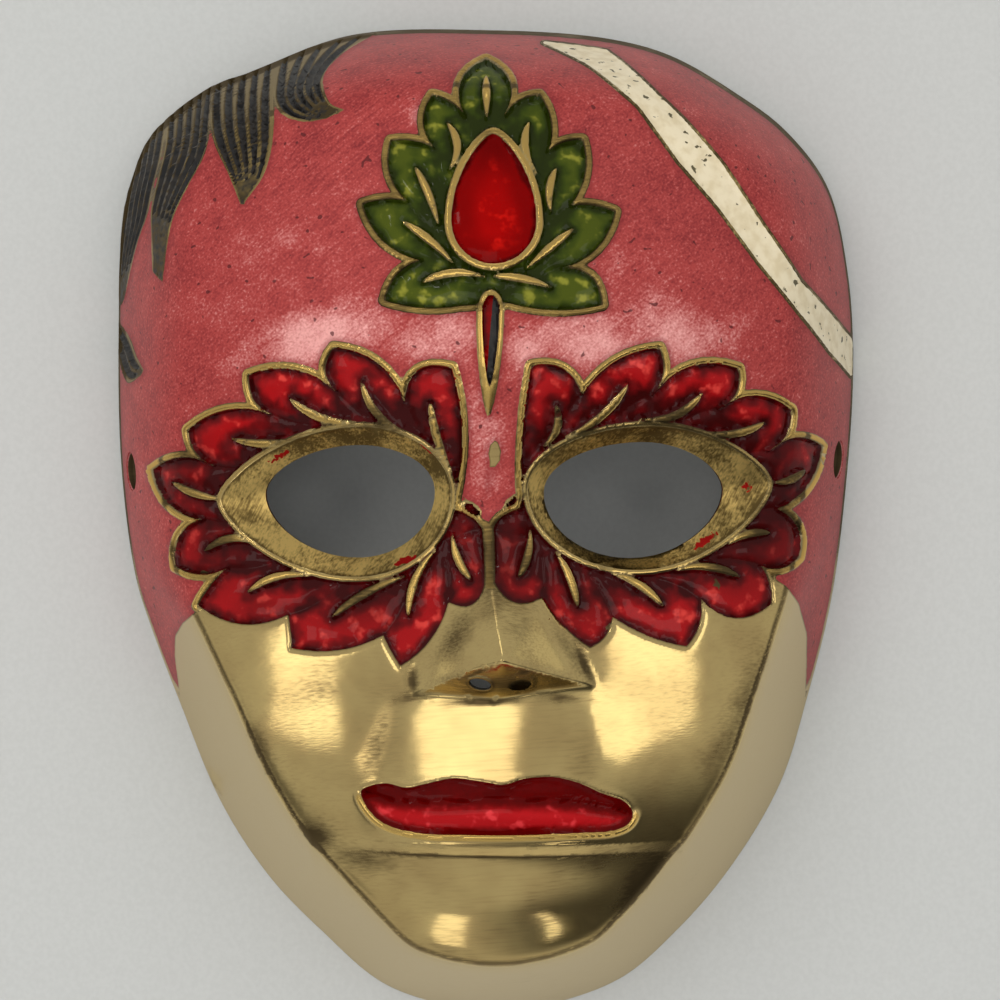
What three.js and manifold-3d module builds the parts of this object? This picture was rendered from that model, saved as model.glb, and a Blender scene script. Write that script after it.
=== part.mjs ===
// Cast brass carnival wall mask, one hollow casting, lying on its flat rim with the face up.
// Millimetres. +X is the wearer's left, +Y runs from chin to forehead, +Z is out of the face.

import * as THREE from "three";
import { ConvexGeometry } from "three/addons/geometries/ConvexGeometry.js";
import { mergeVertices } from "three/addons/utils/BufferGeometryUtils.js";
import Module from "manifold-3d";

const wasm = await Module();
wasm.setup();

// Casting
const WALL = 2.8; // thickness of the brass
const LIP_RAISE = 0.6; // the brass edge of the lips stands this far above the face
const FIELD = 1; // depth of the leaf fields that hold the enamel, with ridges left between them
const GROOVE = 0.9; // depth of the black grooves of the hair
const EYE_LINE = 0.9; // brass line around the eye opening
const BELOW = 12; // the solids run this far under the rim before they are cut flat
const ABOVE = 80; // and the cutting prisms this far over it

// Outline of the rim, anticlockwise from the chin. The left shoulder is the squarer one.
const OUTLINE = [
  [1, -94], [22.5, -89], [35, -79], [45.5, -67], [55, -51.5], [60.5, -35], [65.5, -16], [68.8, 7],
  [70.4, 28], [69.7, 46], [66, 63], [58, 74], [49, 81], [36.5, 88.5], [24.5, 92], [2, 94],
  [-25, 93.5], [-44.5, 86.7], [-52, 84], [-63.5, 75], [-67.3, 67], [-69.3, 59], [-70.4, 40],
  [-70.4, 12], [-68, -9.6], [-65.3, -19], [-59.7, -34.5], [-52.3, -53.3], [-43.5, -67.4],
  [-33.7, -78], [-20.2, -89.4],
];
const OUTLINE_STEPS = 8; // straight steps between two of these points

// Front of the face along the midline: y, height, radius across the face
const MIDLINE = [
  [-100, 17, 55], [-92, 23, 58], [-80, 30.5, 68], [-66, 36, 85], [-50, 38.5, 115], [-30, 38.5, 125],
  [-8, 38.5, 115], [12, 41.5, 100], [35, 43.5, 98], [60, 40.5, 98], [80, 34.5, 105], [100, 25, 110],
];
const EYE_CENTRES = [[-29, 4.5], [29.5, 4.5]];
const SOCKET = { depth: 3.5, across: 24, up: 15 };
const WALL_SLOPE = { jaw: 2.35, brow: 3.1 }; // rise of the side wall per millimetre
const ARRIS = { jaw: 3, brow: 22 }; // rounding where the side wall meets the front
const JAW_TO_BROW = [-25, 15]; // the two blend over this stretch of y

// Each leaf: its tip, the swell of the edge that climbs to it, the notch after it, the swell down
const LEFT_WREATH = {
  centre: [-26, 4.5],
  start: [-4.4, 7],
  turn: 1,
  leaves: [
    [-6, 27.3, 0.12, -14.5, 21.3, 0.6],
    [-27, 31.4, 0.32, -26.8, 23.5, 0.45],
    [-42.8, 27, 0.3, -38.8, 19.7, 0.35],
    [-54.7, 17.4, 0.28, -50, 10.7, 0.3],
    [-62.4, 10.3, 0.3, -52.3, 1, 0.35],
    [-57.8, -7.6, 0.45, -47.9, -8, 0.25],
    [-53.5, -14.9, 0.1, -36.6, -16.5, 0.3],
    [-36.1, -22.6, -0.05, -19.2, -20.4, 0.18],
    [-16.2, -26, 0.05, -7.4, -15.1, 0.2],
    [-3.6, -16, 0.3, -4.4, 7, 0.12],
  ],
};
const RIGHT_WREATH = {
  centre: [26.5, 4.5],
  start: [5, 7.5],
  turn: -1,
  leaves: [
    [8.4, 27.4, 0.05, 17.3, 22, 0.45],
    [31.4, 30.4, 0.25, 30.2, 22, 0.3],
    [46, 26.7, 0.35, 42.4, 19.5, 0.4],
    [56.1, 19.2, 0.35, 51.6, 11.6, 0.35],
    [62.6, 12.7, 0.35, 53.2, 1.1, 0.3],
    [57.4, -7.9, 0.45, 50, -9.3, 0.3],
    [51.9, -16.3, 0.2, 38.6, -15, 0.45],
    [35.8, -23.5, 0.25, 22.3, -17.7, 0.12],
    [18.1, -23.2, 0.3, 9.9, -13.6, 0.12],
    [5.6, -15.5, 0.3, 5, 7.5, 0.12],
  ],
};
const CROWN = {
  centre: [1, 54],
  start: [4.5, 38.8],
  turn: 1,
  leaves: [
    [21.1, 38.3, 0.14, 13.7, 44.8, 0.5],
    [23.8, 55, 0.3, 15.7, 56.1, 0.15],
    [18.2, 68.2, 0.25, 12, 66.1, 0.2],
    [10.6, 76.7, 0.25, 4.2, 72.8, 0.25],
    [1.1, 84.9, 0.45, -2.6, 72.5, 0.45],
    [-8.6, 77, 0.2, -8.5, 67.2, 0.35],
    [-16.2, 68.6, 0.15, -13.3, 57.4, 0.3],
    [-21.4, 57.1, 0.15, -10.9, 46.7, 0.3],
    [-17.6, 39.7, 0.3, -1.9, 38.9, 0.15],
  ],
};
const LEAF_STEPS = 3; // straight steps on each edge of a leaf

// Veins: outer end, inner end, bend to the right of that way
const VEIN_WIDTH = 1.5;
const VEIN_STEPS = 3;
const VEINS = [
  [-9.9, 21.3, -6.2, 8.6, 0.11], [-22.2, 25.3, -13.5, 15.5, 0.29], [-35.3, 22.5, -23.5, 18.1, 0.22],
  [-46.4, 15.6, -32.6, 15.8, 0.17], [-58.2, 8, -48.6, 4.7, 0.14], [-52.1, -4.8, -40.7, -4.2, -0.35],
  [-44, -12.4, -32.6, -9.6, -0.24], [-28.5, -17.1, -14.9, -9.8, -0.11],
  [-14.6, -17, -9.4, -5.2, -0.22], [-4, -9.6, -7, -1.5, -0.22],
  [12.6, 20.4, 10.2, 13, -0.36], [25.6, 23.9, 14.2, 14.7, -0.18], [39.2, 22.3, 28, 17.8, -0.3],
  [51, 17, 40.1, 15.3, -0.21], [58.9, 8.2, 52.5, 6, -0.22], [51.8, -3.3, 43.8, -5.2, 0.21],
  [45.9, -11.2, 34.1, -9.7, 0.21], [31.5, -16.1, 22.1, -9.9, 0.17], [16, -15.9, 12.2, -5.9, 0.12],
  [6.4, -9.8, 7.3, -1.7, 0.03],
  [1.1, 80.8, 1.1, 72.6, 0], [-6.1, 71.8, -5.8, 62.9, -0.37], [-11.9, 63.6, -7.9, 53.1, -0.07],
  [-14.2, 53.7, -5.4, 46, -0.09], [-10.9, 42.7, 0.3, 43.4, -0.22], [8.7, 71.6, 9.9, 62, 0.29],
  [13.4, 63, 12.3, 55, 0.18], [16.2, 51.9, 7.8, 44.9, 0.02], [1.7, 43.5, 12.2, 41.3, -0.12],
];

// Eye openings: outer corner, top, inner end and bottom of the filed edge, then of the hole
const EYES = [
  { edge: [[-48.8, 4.4], [-23.2, 17.2], [-6.5, 5], [-23.8, -9.9]], point: 0.25,
    hole: [[-41.2, 5.1], [-23.9, 13.4], [-9.8, 5.2], [-23.8, -6.2]] },
  { edge: [[51.6, 5.7], [29.6, 16.5], [7.3, 5.5], [27.5, -9.5]], point: 0.25,
    hole: [[43.8, 4.6], [28.7, 13.1], [10.6, 4.4], [26.4, -7.1]] },
];
const HOLE_POINT = 0.45; // 0 is a sharp corner, 0.55 a round one
const ROUND = 0.55;
const EYE_STEPS = 5;
const BEVEL_DEPTH = 2.1;

// Drop in the crown, and the small pendant under it: top, bottom, half width, height of the widest
const DROP = { top: [2.2, 69.4], bottom: [2, 45.8], half: 7.6, widest: 53.5, line: 1.3 };
const PENDANT = { top: [1.2, 41], bottom: [0.6, 19.6], half: 2.6, widest: 36.8, line: 0.8 };
const PENDANT_FILL = { top: [1.1, 40], bottom: [0.6, 24.1], half: 1.7, widest: 36.8 };
const DROP_STEPS = 7;

// Brass line between the two wreaths
const BRIDGE_LINE = { top: [0.3, 4.5], bottom: [0.6, -13], width: 1.5 };

// Hair: each lock runs from the rim to its tip, in strands
const LOCKS = [
  { from: [-37.5, 86.2], to: [-24.5, 90.3], tip: [-26, 74.6], tipFrom: [-35.5, 75], bend: -0.36, strands: 5 },
  { from: [-49, 82.5], to: [-38.8, 86], tip: [-43.8, 60], tipFrom: [-43.8, 60], bend: -0.06, strands: 6 },
  { from: [-60.3, 75.6], to: [-50, 82], tip: [-58.1, 48], tipFrom: [-61.6, 48], bend: 0.06, strands: 5 },
  { from: [-66.6, 66], to: [-61.5, 75], tip: [-65.4, 51], tipFrom: [-68.6, 46], bend: 0.08, strands: 4 },
  { from: [-68.9, 35], to: [-69, 31], tip: [-64.4, 28.4], tipFrom: [-66.5, 26.4], bend: 0.2, strands: 2 },
];
const STRAND_WIDTH = 1.25;
const STRAND_STEPS = 3;

// Cream band from the rim at the forehead to the right side: x, y and half its width
const BAND = [
  [13.2, 89.2, 0.2], [22.3, 85.1, 1.7], [31, 76.3, 1.8], [38.2, 67, 1.8], [46.3, 55.7, 1.5],
  [54, 44.9, 1.2], [62.2, 34.8, 1], [68.6, 28.6, 0.9],
];

// Nose wedge
const NOSE = {
  root: [0.1, -10.5, 38.4], ridge: [0.9, -17.9, 44.2], tip: [2.2, -24.7, 50],
  tipEdges: [[-3.2, -26.2, 46.8], [5.6, -25.8, 46.8]],
  sides: [[-6.6, -15.5, 37.8], [-10, -20.6, 38.2], [9.6, -14.2, 37.8], [13.6, -21.1, 37.2]],
  corners: [[-13.8, -31.2, 37.8], [18.3, -30, 37.4]],
  lip: [1.7, -32.4, 38.6],
  foot: 32, // the wedge ends inside the wall at this height
};
const NOSTRILS = [
  { at: [-1.8, -29.4], wide: 4.6, high: 2.5, lean: -15, through: true },
  { at: [5.3, -29.8], wide: 4.6, high: 2.5, lean: 12, through: false },
];
const NOSTRIL_DEPTH = 3;

// Lips, anticlockwise from the left corner, and the line between them
const LIPS = [
  [-23.7, -49.6], [-22, -53], [-19.4, -54.6], [-9.5, -56.3], [7.8, -56.5], [18, -56.7], [24.3, -55.3],
  [25.3, -53.3], [24, -51.4], [18, -48.6], [13, -46.9], [7.9, -46.3], [1.4, -47.6], [-3, -46.5],
  [-7.2, -46.4], [-14.8, -47.8], [-18.6, -47],
];
const LIP_RIM = 0.9;
const LIP_DEPTH = 1.1;
const PARTING = { from: [-20.5, -50.6], to: [22.5, -52], sag: 0.05, width: 1.3, depth: 1.9 };

// Chamfer under the lips, where the chin is set back
const CHIN_STEP = {
  from: [-33, -57], to: [28, -58.6], chamfer: 2.6, back: 9, depth: 1.6, stations: 7,
  lift: 0.7, // the wedge leaves the face by this much at its two ends
};

// Ribbon hole in each side wall
const RIBBON_HOLE = { radius: 3.7, y: 10.2, z: 8 };

const BRASS = new THREE.MeshStandardMaterial({ color: 0xb89a58, roughness: 0.3, metalness: 1 });

// Closed curve through the outline points, centred on the origin
function rimLoop() {
  const curve = new THREE.CatmullRomCurve3(
    OUTLINE.map(([x, y]) => new THREE.Vector3(x, y, 0)), true, "centripetal");
  const points = [];
  const count = OUTLINE.length * OUTLINE_STEPS;
  for (let i = 0; i < count; i += 1) {
    const at = curve.getPoint(i / count);
    points.push(new THREE.Vector2(at.x, at.y));
  }
  const box = new THREE.Box2().setFromPoints(points);
  const centre = box.getCenter(new THREE.Vector2());
  return points.map((point) => point.sub(centre));
}
const RIM = rimLoop();

// Distance from the rim line, positive inside it
function insetAt(x, y) {
  let nearest = Infinity;
  let inside = false;
  for (let i = 0; i < RIM.length; i += 1) {
    const a = RIM[i];
    const b = RIM[(i + 1) % RIM.length];
    const dx = b.x - a.x;
    const dy = b.y - a.y;
    const along = THREE.MathUtils.clamp(((x - a.x) * dx + (y - a.y) * dy) / (dx * dx + dy * dy), 0, 1);
    nearest = Math.min(nearest, Math.hypot(x - a.x - along * dx, y - a.y - along * dy));
    if ((a.y > y) !== (b.y > y) && x < a.x + ((y - a.y) * dx) / dy) {
      inside = !inside;
    }
  }
  return inside ? nearest : -nearest;
}

// Smooth curve through one column of the midline table
function midline(y, column) {
  const last = MIDLINE.length - 1;
  const at = THREE.MathUtils.clamp(y, MIDLINE[0][0], MIDLINE[last][0]);
  let i = 0;
  while (i < last - 1 && at > MIDLINE[i + 1][0]) {
    i += 1;
  }
  const slope = (k) => {
    const below = MIDLINE[Math.max(k - 1, 0)];
    const above = MIDLINE[Math.min(k + 1, last)];
    return (above[column] - below[column]) / (above[0] - below[0]);
  };
  const span = MIDLINE[i + 1][0] - MIDLINE[i][0];
  const t = (at - MIDLINE[i][0]) / span;
  return (2 * t ** 3 - 3 * t ** 2 + 1) * MIDLINE[i][column] + (t ** 3 - 2 * t ** 2 + t) * span * slope(i)
    + (3 * t ** 2 - 2 * t ** 3) * MIDLINE[i + 1][column] + (t ** 3 - t ** 2) * span * slope(i + 1);
}

function frontHeight(x, y) {
  let height = midline(y, 1) - (x * x) / (2 * midline(y, 2));
  for (const [cx, cy] of EYE_CENTRES) {
    height -= SOCKET.depth * Math.exp(-(((x - cx) / SOCKET.across) ** 2) - ((y - cy) / SOCKET.up) ** 2);
  }
  return height;
}

// Height of the smooth face over the rim: the side wall and the front, blended
function faceHeight(x, y) {
  const brow = THREE.MathUtils.smoothstep(y, JAW_TO_BROW[0], JAW_TO_BROW[1]);
  const side = insetAt(x, y) * THREE.MathUtils.lerp(WALL_SLOPE.jaw, WALL_SLOPE.brow, brow);
  const front = frontHeight(x, y);
  const round = Math.min(THREE.MathUtils.lerp(ARRIS.jaw, ARRIS.brow, brow), front);
  const blend = Math.max(round - Math.abs(side - front), 0) / round;
  return Math.min(side, front) - (blend * blend * round) / 4;
}

// Point of the face, sunk by a depth along the surface's own normal
function facePoint(x, y, depth) {
  const step = 0.5;
  const dzdx = (faceHeight(x + step, y) - faceHeight(x - step, y)) / (2 * step);
  const dzdy = (faceHeight(x, y + step) - faceHeight(x, y - step)) / (2 * step);
  const normal = new THREE.Vector3(-dzdx, -dzdy, 1).normalize();
  return new THREE.Vector3(x, y, faceHeight(x, y)).addScaledVector(normal, -depth);
}

function toManifold(geometry) {
  const bare = geometry.clone();
  bare.deleteAttribute("normal");
  bare.deleteAttribute("uv");
  const merged = mergeVertices(bare, 1e-4);
  return new wasm.Manifold(new wasm.Mesh({
    numProp: 3,
    vertProperties: new Float32Array(merged.attributes.position.array),
    triVerts: new Uint32Array(merged.index.array),
  }));
}

// Closed solid through a stack of loops of equal length, listed so that the faces point out
function loft(loops) {
  const positions = [];
  const index = [];
  const size = loops[0].length;
  for (const loop of loops) {
    for (const point of loop) {
      positions.push(point.x, point.y, point.z);
    }
  }
  for (let j = 0; j + 1 < loops.length; j += 1) {
    for (let i = 0; i < size; i += 1) {
      const a = j * size + i;
      const b = j * size + ((i + 1) % size);
      index.push(a, b, b + size, a, b + size, a + size);
    }
  }
  for (const [j, flip] of [[0, true], [loops.length - 1, false]]) {
    const middle = new THREE.Vector3();
    loops[j].forEach((point) => middle.addScaledVector(point, 1 / size));
    const hub = positions.length / 3;
    positions.push(middle.x, middle.y, middle.z);
    for (let i = 0; i < size; i += 1) {
      const a = j * size + i;
      const b = j * size + ((i + 1) % size);
      index.push(...(flip ? [b, a, hub] : [a, b, hub]));
    }
  }
  const geometry = new THREE.BufferGeometry();
  geometry.setAttribute("position", new THREE.Float32BufferAttribute(positions, 3));
  geometry.setIndex(index);
  return toManifold(geometry);
}

// Rings that follow the rim at first and then close towards the middle of the face
function faceRings(around, insets, shrinks, middle) {
  const rings = insets.map(() => []);
  const inner = shrinks.map(() => []);
  for (let j = 0; j < around; j += 1) {
    const k = Math.round((j / around) * RIM.length) % RIM.length;
    const before = RIM[(k + RIM.length - 3) % RIM.length];
    const after = RIM[(k + 3) % RIM.length];
    const inward = new THREE.Vector2(before.y - after.y, after.x - before.x).normalize();
    insets.forEach((inset, i) => rings[i].push(RIM[k].clone().addScaledVector(inward, inset)));
    shrinks.forEach((shrink, i) => inner[i].push(rings[insets.length - 1][j].clone()
      .sub(middle).multiplyScalar(shrink).add(middle)));
  }
  return rings.concat(inner);
}

// Solid mass under the face, its skin sunk by a depth
function massUnder(depth, around, insets, shrinks) {
  const rings = faceRings(around, insets, shrinks, new THREE.Vector2(0, 4));
  const loops = rings.map((ring) => ring.map((point) => facePoint(point.x, point.y, depth)));
  const foot = loops[0].map((point) => new THREE.Vector3(point.x, point.y, -BELOW));
  return loft([foot, ...loops]);
}

const SKIN_RINGS = [62, [-1.6, 0, 3, 7.5, 12.2], [0.88, 0.66, 0.44, 0.22]];
const HOLLOW_RINGS = [40, [-1.6, 3, 12.2], [0.88, 0.6, 0.25]];

function skinAt(depth) {
  return massUnder(depth, ...SKIN_RINGS);
}

// Quadratic arc from one point towards another, bulging to the right of its way, end left out
function bow(from, to, bulge, steps) {
  const across = new THREE.Vector2(to.y - from.y, from.x - to.x).multiplyScalar(bulge);
  const control = from.clone().add(to).multiplyScalar(0.5).add(across);
  return new THREE.QuadraticBezierCurve(from, control, to).getPoints(steps).slice(0, steps);
}

function vector(pair) {
  return new THREE.Vector2(pair[0], pair[1]);
}

// Upright prism over a closed outline
function prism(points, bottom = -BELOW) {
  const shape = new THREE.Shape(points);
  const geometry = new THREE.ExtrudeGeometry(shape, { depth: ABOVE - bottom, bevelEnabled: false });
  geometry.translate(0, 0, bottom);
  return toManifold(geometry);
}

function merge(solids) {
  return solids.reduce((whole, solid) => whole.add(solid));
}

// One leaf, as a wedge from the centre of its wreath
function leaf(wreath, from, row) {
  const [tipX, tipY, climb, hookX, hookY, fall] = row;
  const tip = new THREE.Vector2(tipX, tipY);
  const hook = new THREE.Vector2(hookX, hookY);
  return prism([
    vector(wreath.centre),
    ...bow(from, tip, climb * wreath.turn, LEAF_STEPS),
    ...bow(tip, hook, fall * wreath.turn, LEAF_STEPS),
    hook,
  ]);
}

function wreathPrism(wreath) {
  let from = vector(wreath.start);
  return merge(wreath.leaves.map((row) => {
    const solid = leaf(wreath, from, row);
    from = new THREE.Vector2(row[3], row[4]);
    return solid;
  }));
}

// Slim crescent that tapers to both ends
function crescent(from, to, bend, width, steps) {
  const path = [...bow(from, to, bend, steps), to];
  const left = [];
  const right = [];
  path.forEach((point, i) => {
    const before = path[Math.max(i - 1, 0)];
    const after = path[Math.min(i + 1, steps)];
    const across = new THREE.Vector2(after.y - before.y, before.x - after.x).normalize();
    const half = 0.1 + (width / 2) * Math.sin((Math.PI * i) / steps) ** 0.7;
    left.unshift(point.clone().addScaledVector(across, -half));
    right.push(point.clone().addScaledVector(across, half));
  });
  return prism([...right, ...left]);
}

// Closed loop through outer end, top, inner end and bottom; sharp sets how pointed the outer end is
function almond([outer, top, inner, bottom], sharp, steps) {
  const arcs = [[outer, top, sharp, ROUND], [top, inner, ROUND, ROUND], [inner, bottom, ROUND, ROUND],
    [bottom, outer, ROUND, sharp]];
  const points = [];
  arcs.forEach(([from, to, leave, arrive], i) => {
    const a = vector(from);
    const b = vector(to);
    const upright = i % 2 === 0;
    const first = upright ? new THREE.Vector2(a.x, a.y + (b.y - a.y) * leave)
      : new THREE.Vector2(a.x + (b.x - a.x) * leave, a.y);
    const second = upright ? new THREE.Vector2(b.x - (b.x - a.x) * arrive, b.y)
      : new THREE.Vector2(b.x, b.y - (b.y - a.y) * arrive);
    points.push(...new THREE.CubicBezierCurve(a, first, second, b).getPoints(steps).slice(0, steps));
  });
  return THREE.ShapeUtils.area(points) < 0 ? points.reverse() : points;
}

// Loop moved out by a margin from its own centre line
function widen(points, margin) {
  return points.map((point, i) => {
    const before = points[(i + points.length - 1) % points.length];
    const after = points[(i + 1) % points.length];
    const out = new THREE.Vector2(after.y - before.y, before.x - after.x).normalize();
    return point.clone().addScaledVector(out, margin);
  });
}

// Tool that files the slanted edge of an eye opening and cuts its hole
function eyeCutter(eye) {
  const edge = almond(eye.edge, eye.point, EYE_STEPS);
  const hole = almond(eye.hole, HOLE_POINT, EYE_STEPS);
  const at = (points, depth) => points.map((point) => facePoint(point.x, point.y, depth));
  const flat = (points, z) => points.map((point) => new THREE.Vector3(point.x, point.y, z));
  const taper = loft([flat(hole, -BELOW), at(hole, BEVEL_DEPTH), at(edge, -0.1), flat(edge, ABOVE)]);
  return taper.add(prism(hole));
}

// Teardrop with its point up
function dropLoop({ top, bottom, half, widest }, margin = 0) {
  const points = [];
  for (let i = 0; i < DROP_STEPS * 2; i += 1) {
    const round = (i / DROP_STEPS) * Math.PI - Math.PI / 2;
    const low = Math.sin(round) < 0;
    const y = low ? widest + (widest - bottom[1]) * Math.sin(round) : widest + (top[1] - widest) * Math.sin(round);
    const share = low ? Math.cos(round) : Math.cos(round) * (0.45 + 0.55 * Math.abs(Math.cos(round)));
    const lean = THREE.MathUtils.lerp(bottom[0], top[0], (y - bottom[1]) / (top[1] - bottom[1]));
    points.push(new THREE.Vector2(lean + half * share, y));
  }
  return margin ? widen(points, margin) : points;
}

// Strands of a lock, fanned between the rim and its tip
function strands(lock) {
  const cuts = [];
  for (let i = 0; i < lock.strands; i += 1) {
    const share = (i + 0.5) / lock.strands;
    const root = vector(lock.from).lerp(vector(lock.to), share);
    const tip = vector(lock.tipFrom).lerp(vector(lock.tip), share);
    cuts.push(crescent(root, tip, lock.bend, STRAND_WIDTH, STRAND_STEPS));
  }
  return merge(cuts);
}

// Strip of the given half widths along a route
function strip(rows) {
  const path = rows.map(vector);
  const sides = rows.map(([, , half]) => half);
  const across = (i) => {
    const before = path[Math.max(i - 1, 0)];
    const after = path[Math.min(i + 1, path.length - 1)];
    return new THREE.Vector2(after.y - before.y, before.x - after.x).normalize();
  };
  const right = path.map((point, i) => point.clone().addScaledVector(across(i), sides[i]));
  const left = path.map((point, i) => point.clone().addScaledVector(across(i), -sides[i])).reverse();
  return prism([...right, ...left]);
}

function noseWedge(shrink) {
  const points = [NOSE.root, NOSE.ridge, NOSE.tip, ...NOSE.tipEdges, ...NOSE.sides, ...NOSE.corners, NOSE.lip];
  const corners = points.map(([x, y, z]) => new THREE.Vector3(x, y, z));
  const centre = new THREE.Vector3(NOSE.lip[0], NOSE.ridge[1] - 5, NOSE.foot);
  const hull = [];
  corners.forEach((corner) => {
    const moved = corner.clone().sub(centre).multiplyScalar(shrink).add(centre);
    hull.push(moved);
    hull.push(new THREE.Vector3(moved.x, moved.y, NOSE.foot));
  });
  return toManifold(new ConvexGeometry(hull));
}

function nostril({ at, wide, high, lean, through }) {
  const hole = new THREE.CylinderGeometry(0.5, 0.5, ABOVE, 12);
  hole.rotateX(Math.PI / 2);
  hole.scale(wide, high, 1);
  hole.rotateZ(THREE.MathUtils.degToRad(lean));
  const depth = through ? 0 : faceHeight(at[0], at[1]) + ABOVE / 2 + NOSTRIL_DEPTH;
  hole.translate(at[0], at[1], through ? ABOVE / 2 : depth);
  return toManifold(hole);
}

// Wedge that sets the chin back under the lips
function chinCutter() {
  const { from, to, chamfer, back, depth, lift, stations } = CHIN_STEP;
  const loops = [];
  for (let i = 0; i <= stations; i += 1) {
    const share = i / stations;
    const x = THREE.MathUtils.lerp(from[0], to[0], share);
    const y = THREE.MathUtils.lerp(from[1], to[1], share) - Math.sin(Math.PI * share);
    const fade = Math.sin(Math.PI * share) ** 0.5;
    const high = facePoint(x, y + 0.5, -lift);
    const floor = facePoint(x, y - chamfer, (depth + lift) * fade - lift);
    const low = facePoint(x, y - chamfer - 2 - back * fade, -lift);
    loops.push([high, new THREE.Vector3(x, y, ABOVE), new THREE.Vector3(x, low.y, ABOVE), low, floor]);
  }
  return loft(loops);
}

function ribbonHoles() {
  const rod = new THREE.CylinderGeometry(RIBBON_HOLE.radius, RIBBON_HOLE.radius, 200, 20);
  rod.rotateZ(Math.PI / 2);
  rod.translate(0, RIBBON_HOLE.y, RIBBON_HOLE.z);
  return toManifold(rod);
}

// Block that keeps only what lies above the rim plane
function aboveRim() {
  const block = new THREE.BoxGeometry(200, 240, ABOVE);
  block.translate(0, 0, ABOVE / 2);
  return toManifold(block);
}

function castMask() {
  const skin = skinAt(0);
  const fieldFloor = skinAt(FIELD);
  const grooveFloor = skinAt(GROOVE);

  const wreaths = [LEFT_WREATH, RIGHT_WREATH, CROWN];
  const leafFields = merge(wreaths.map(wreathPrism));
  const eyeLines = merge(EYES.map((eye) => prism(widen(almond(eye.edge, eye.point, EYE_STEPS), EYE_LINE))));
  const veins = merge(VEINS.map(([x0, y0, x1, y1, bend]) => crescent(
    new THREE.Vector2(x0, y0), new THREE.Vector2(x1, y1), bend, VEIN_WIDTH, VEIN_STEPS)));
  const bridge = crescent(vector(BRIDGE_LINE.top), vector(BRIDGE_LINE.bottom), 0, BRIDGE_LINE.width, 2);
  const drops = prism(dropLoop(DROP)).add(prism(dropLoop(PENDANT_FILL)));
  const dropLines = prism(dropLoop(DROP, DROP.line)).add(prism(dropLoop(PENDANT)));
  const standing = merge([eyeLines, veins, bridge, dropLines]);

  const fields = leafFields.subtract(standing).add(drops);

  const lipLoop = LIPS.map(vector);
  const lips = prism(lipLoop);
  const lipRim = prism(widen(lipLoop, LIP_RIM)).subtract(lips);
  const parting = crescent(vector(PARTING.from), vector(PARTING.to), PARTING.sag, PARTING.width, 6);

  const hair = merge(LOCKS.map(strands));

  let body = skin.add(noseWedge(1)).subtract(chinCutter());
  body = body.add(lipRim.intersect(skinAt(-LIP_RAISE)));
  body = body.subtract(fields.subtract(fieldFloor));
  body = body.subtract(strip(BAND).subtract(fieldFloor));
  body = body.subtract(hair.subtract(grooveFloor));
  body = body.subtract(lips.subtract(skinAt(LIP_DEPTH)));
  body = body.subtract(parting.subtract(skinAt(PARTING.depth)));
  body = body.intersect(aboveRim());

  const hollow = massUnder(WALL, ...HOLLOW_RINGS).add(noseWedge(0.72));
  body = body.subtract(hollow).subtract(ribbonHoles());
  for (const eye of EYES) {
    body = body.subtract(eyeCutter(eye));
  }
  for (const hole of NOSTRILS) {
    body = body.subtract(nostril(hole));
  }
  return body;
}

function toMesh(solid, name, material) {
  const { numProp, vertProperties, triVerts } = solid.getMesh();
  if (numProp !== 3) {
    throw new Error("a solid carries more than its positions");
  }
  const geometry = new THREE.BufferGeometry();
  geometry.setAttribute("position", new THREE.BufferAttribute(new Float32Array(vertProperties), 3));
  geometry.setIndex(new THREE.BufferAttribute(new Uint32Array(triVerts), 1));
  geometry.computeVertexNormals();
  const mesh = new THREE.Mesh(geometry, material);
  mesh.name = name;
  return mesh;
}

const mask = new THREE.Group();
mask.add(toMesh(castMask(), "mask", BRASS));

export default mask;
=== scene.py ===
"""Cast brass carnival wall mask with enamelled leaves, hair locks and a cream band, flat on its rim.

One fine mesh stands for the casting and its thin enamel fills. Places on the face are plan points in
millimetres, as in the part's source, and depths are millimetres along the face's own normal. They
become metres when the mesh is finished.
"""

import logging
import math
from dataclasses import dataclass
from enum import Enum
from typing import Iterable, Sequence

import bmesh
import bpy
import numpy as np
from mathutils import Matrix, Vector


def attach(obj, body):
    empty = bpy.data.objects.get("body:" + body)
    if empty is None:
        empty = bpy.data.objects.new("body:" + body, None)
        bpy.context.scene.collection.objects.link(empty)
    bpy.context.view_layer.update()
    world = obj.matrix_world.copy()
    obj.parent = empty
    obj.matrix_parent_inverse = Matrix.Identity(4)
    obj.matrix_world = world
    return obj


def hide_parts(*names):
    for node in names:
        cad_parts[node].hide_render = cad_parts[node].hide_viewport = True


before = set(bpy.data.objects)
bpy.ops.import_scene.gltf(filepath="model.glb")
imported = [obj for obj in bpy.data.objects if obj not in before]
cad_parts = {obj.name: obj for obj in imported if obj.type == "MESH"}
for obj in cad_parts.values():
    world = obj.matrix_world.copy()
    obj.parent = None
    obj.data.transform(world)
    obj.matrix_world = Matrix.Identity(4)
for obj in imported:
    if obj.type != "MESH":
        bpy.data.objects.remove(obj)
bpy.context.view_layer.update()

METRE = 0.001  # of a millimetre
FAR = 12.0  # beyond this many millimetres a distance to a contour isn't worked out
NEAR = 4.0  # the same for small contours
SNAP = 0.02  # a point this near to a contour counts as on it, in millimetres
ON_RIM = 0.01  # the same for the line of the rim
LIMIT = 8.0  # largest distance that a vertex attribute keeps, in millimetres
HALFWAY = -0.5  # between the levels of front and back, while the mask is still flat

log = logging.getLogger("brass_mask")

Plan = np.ndarray


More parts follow.
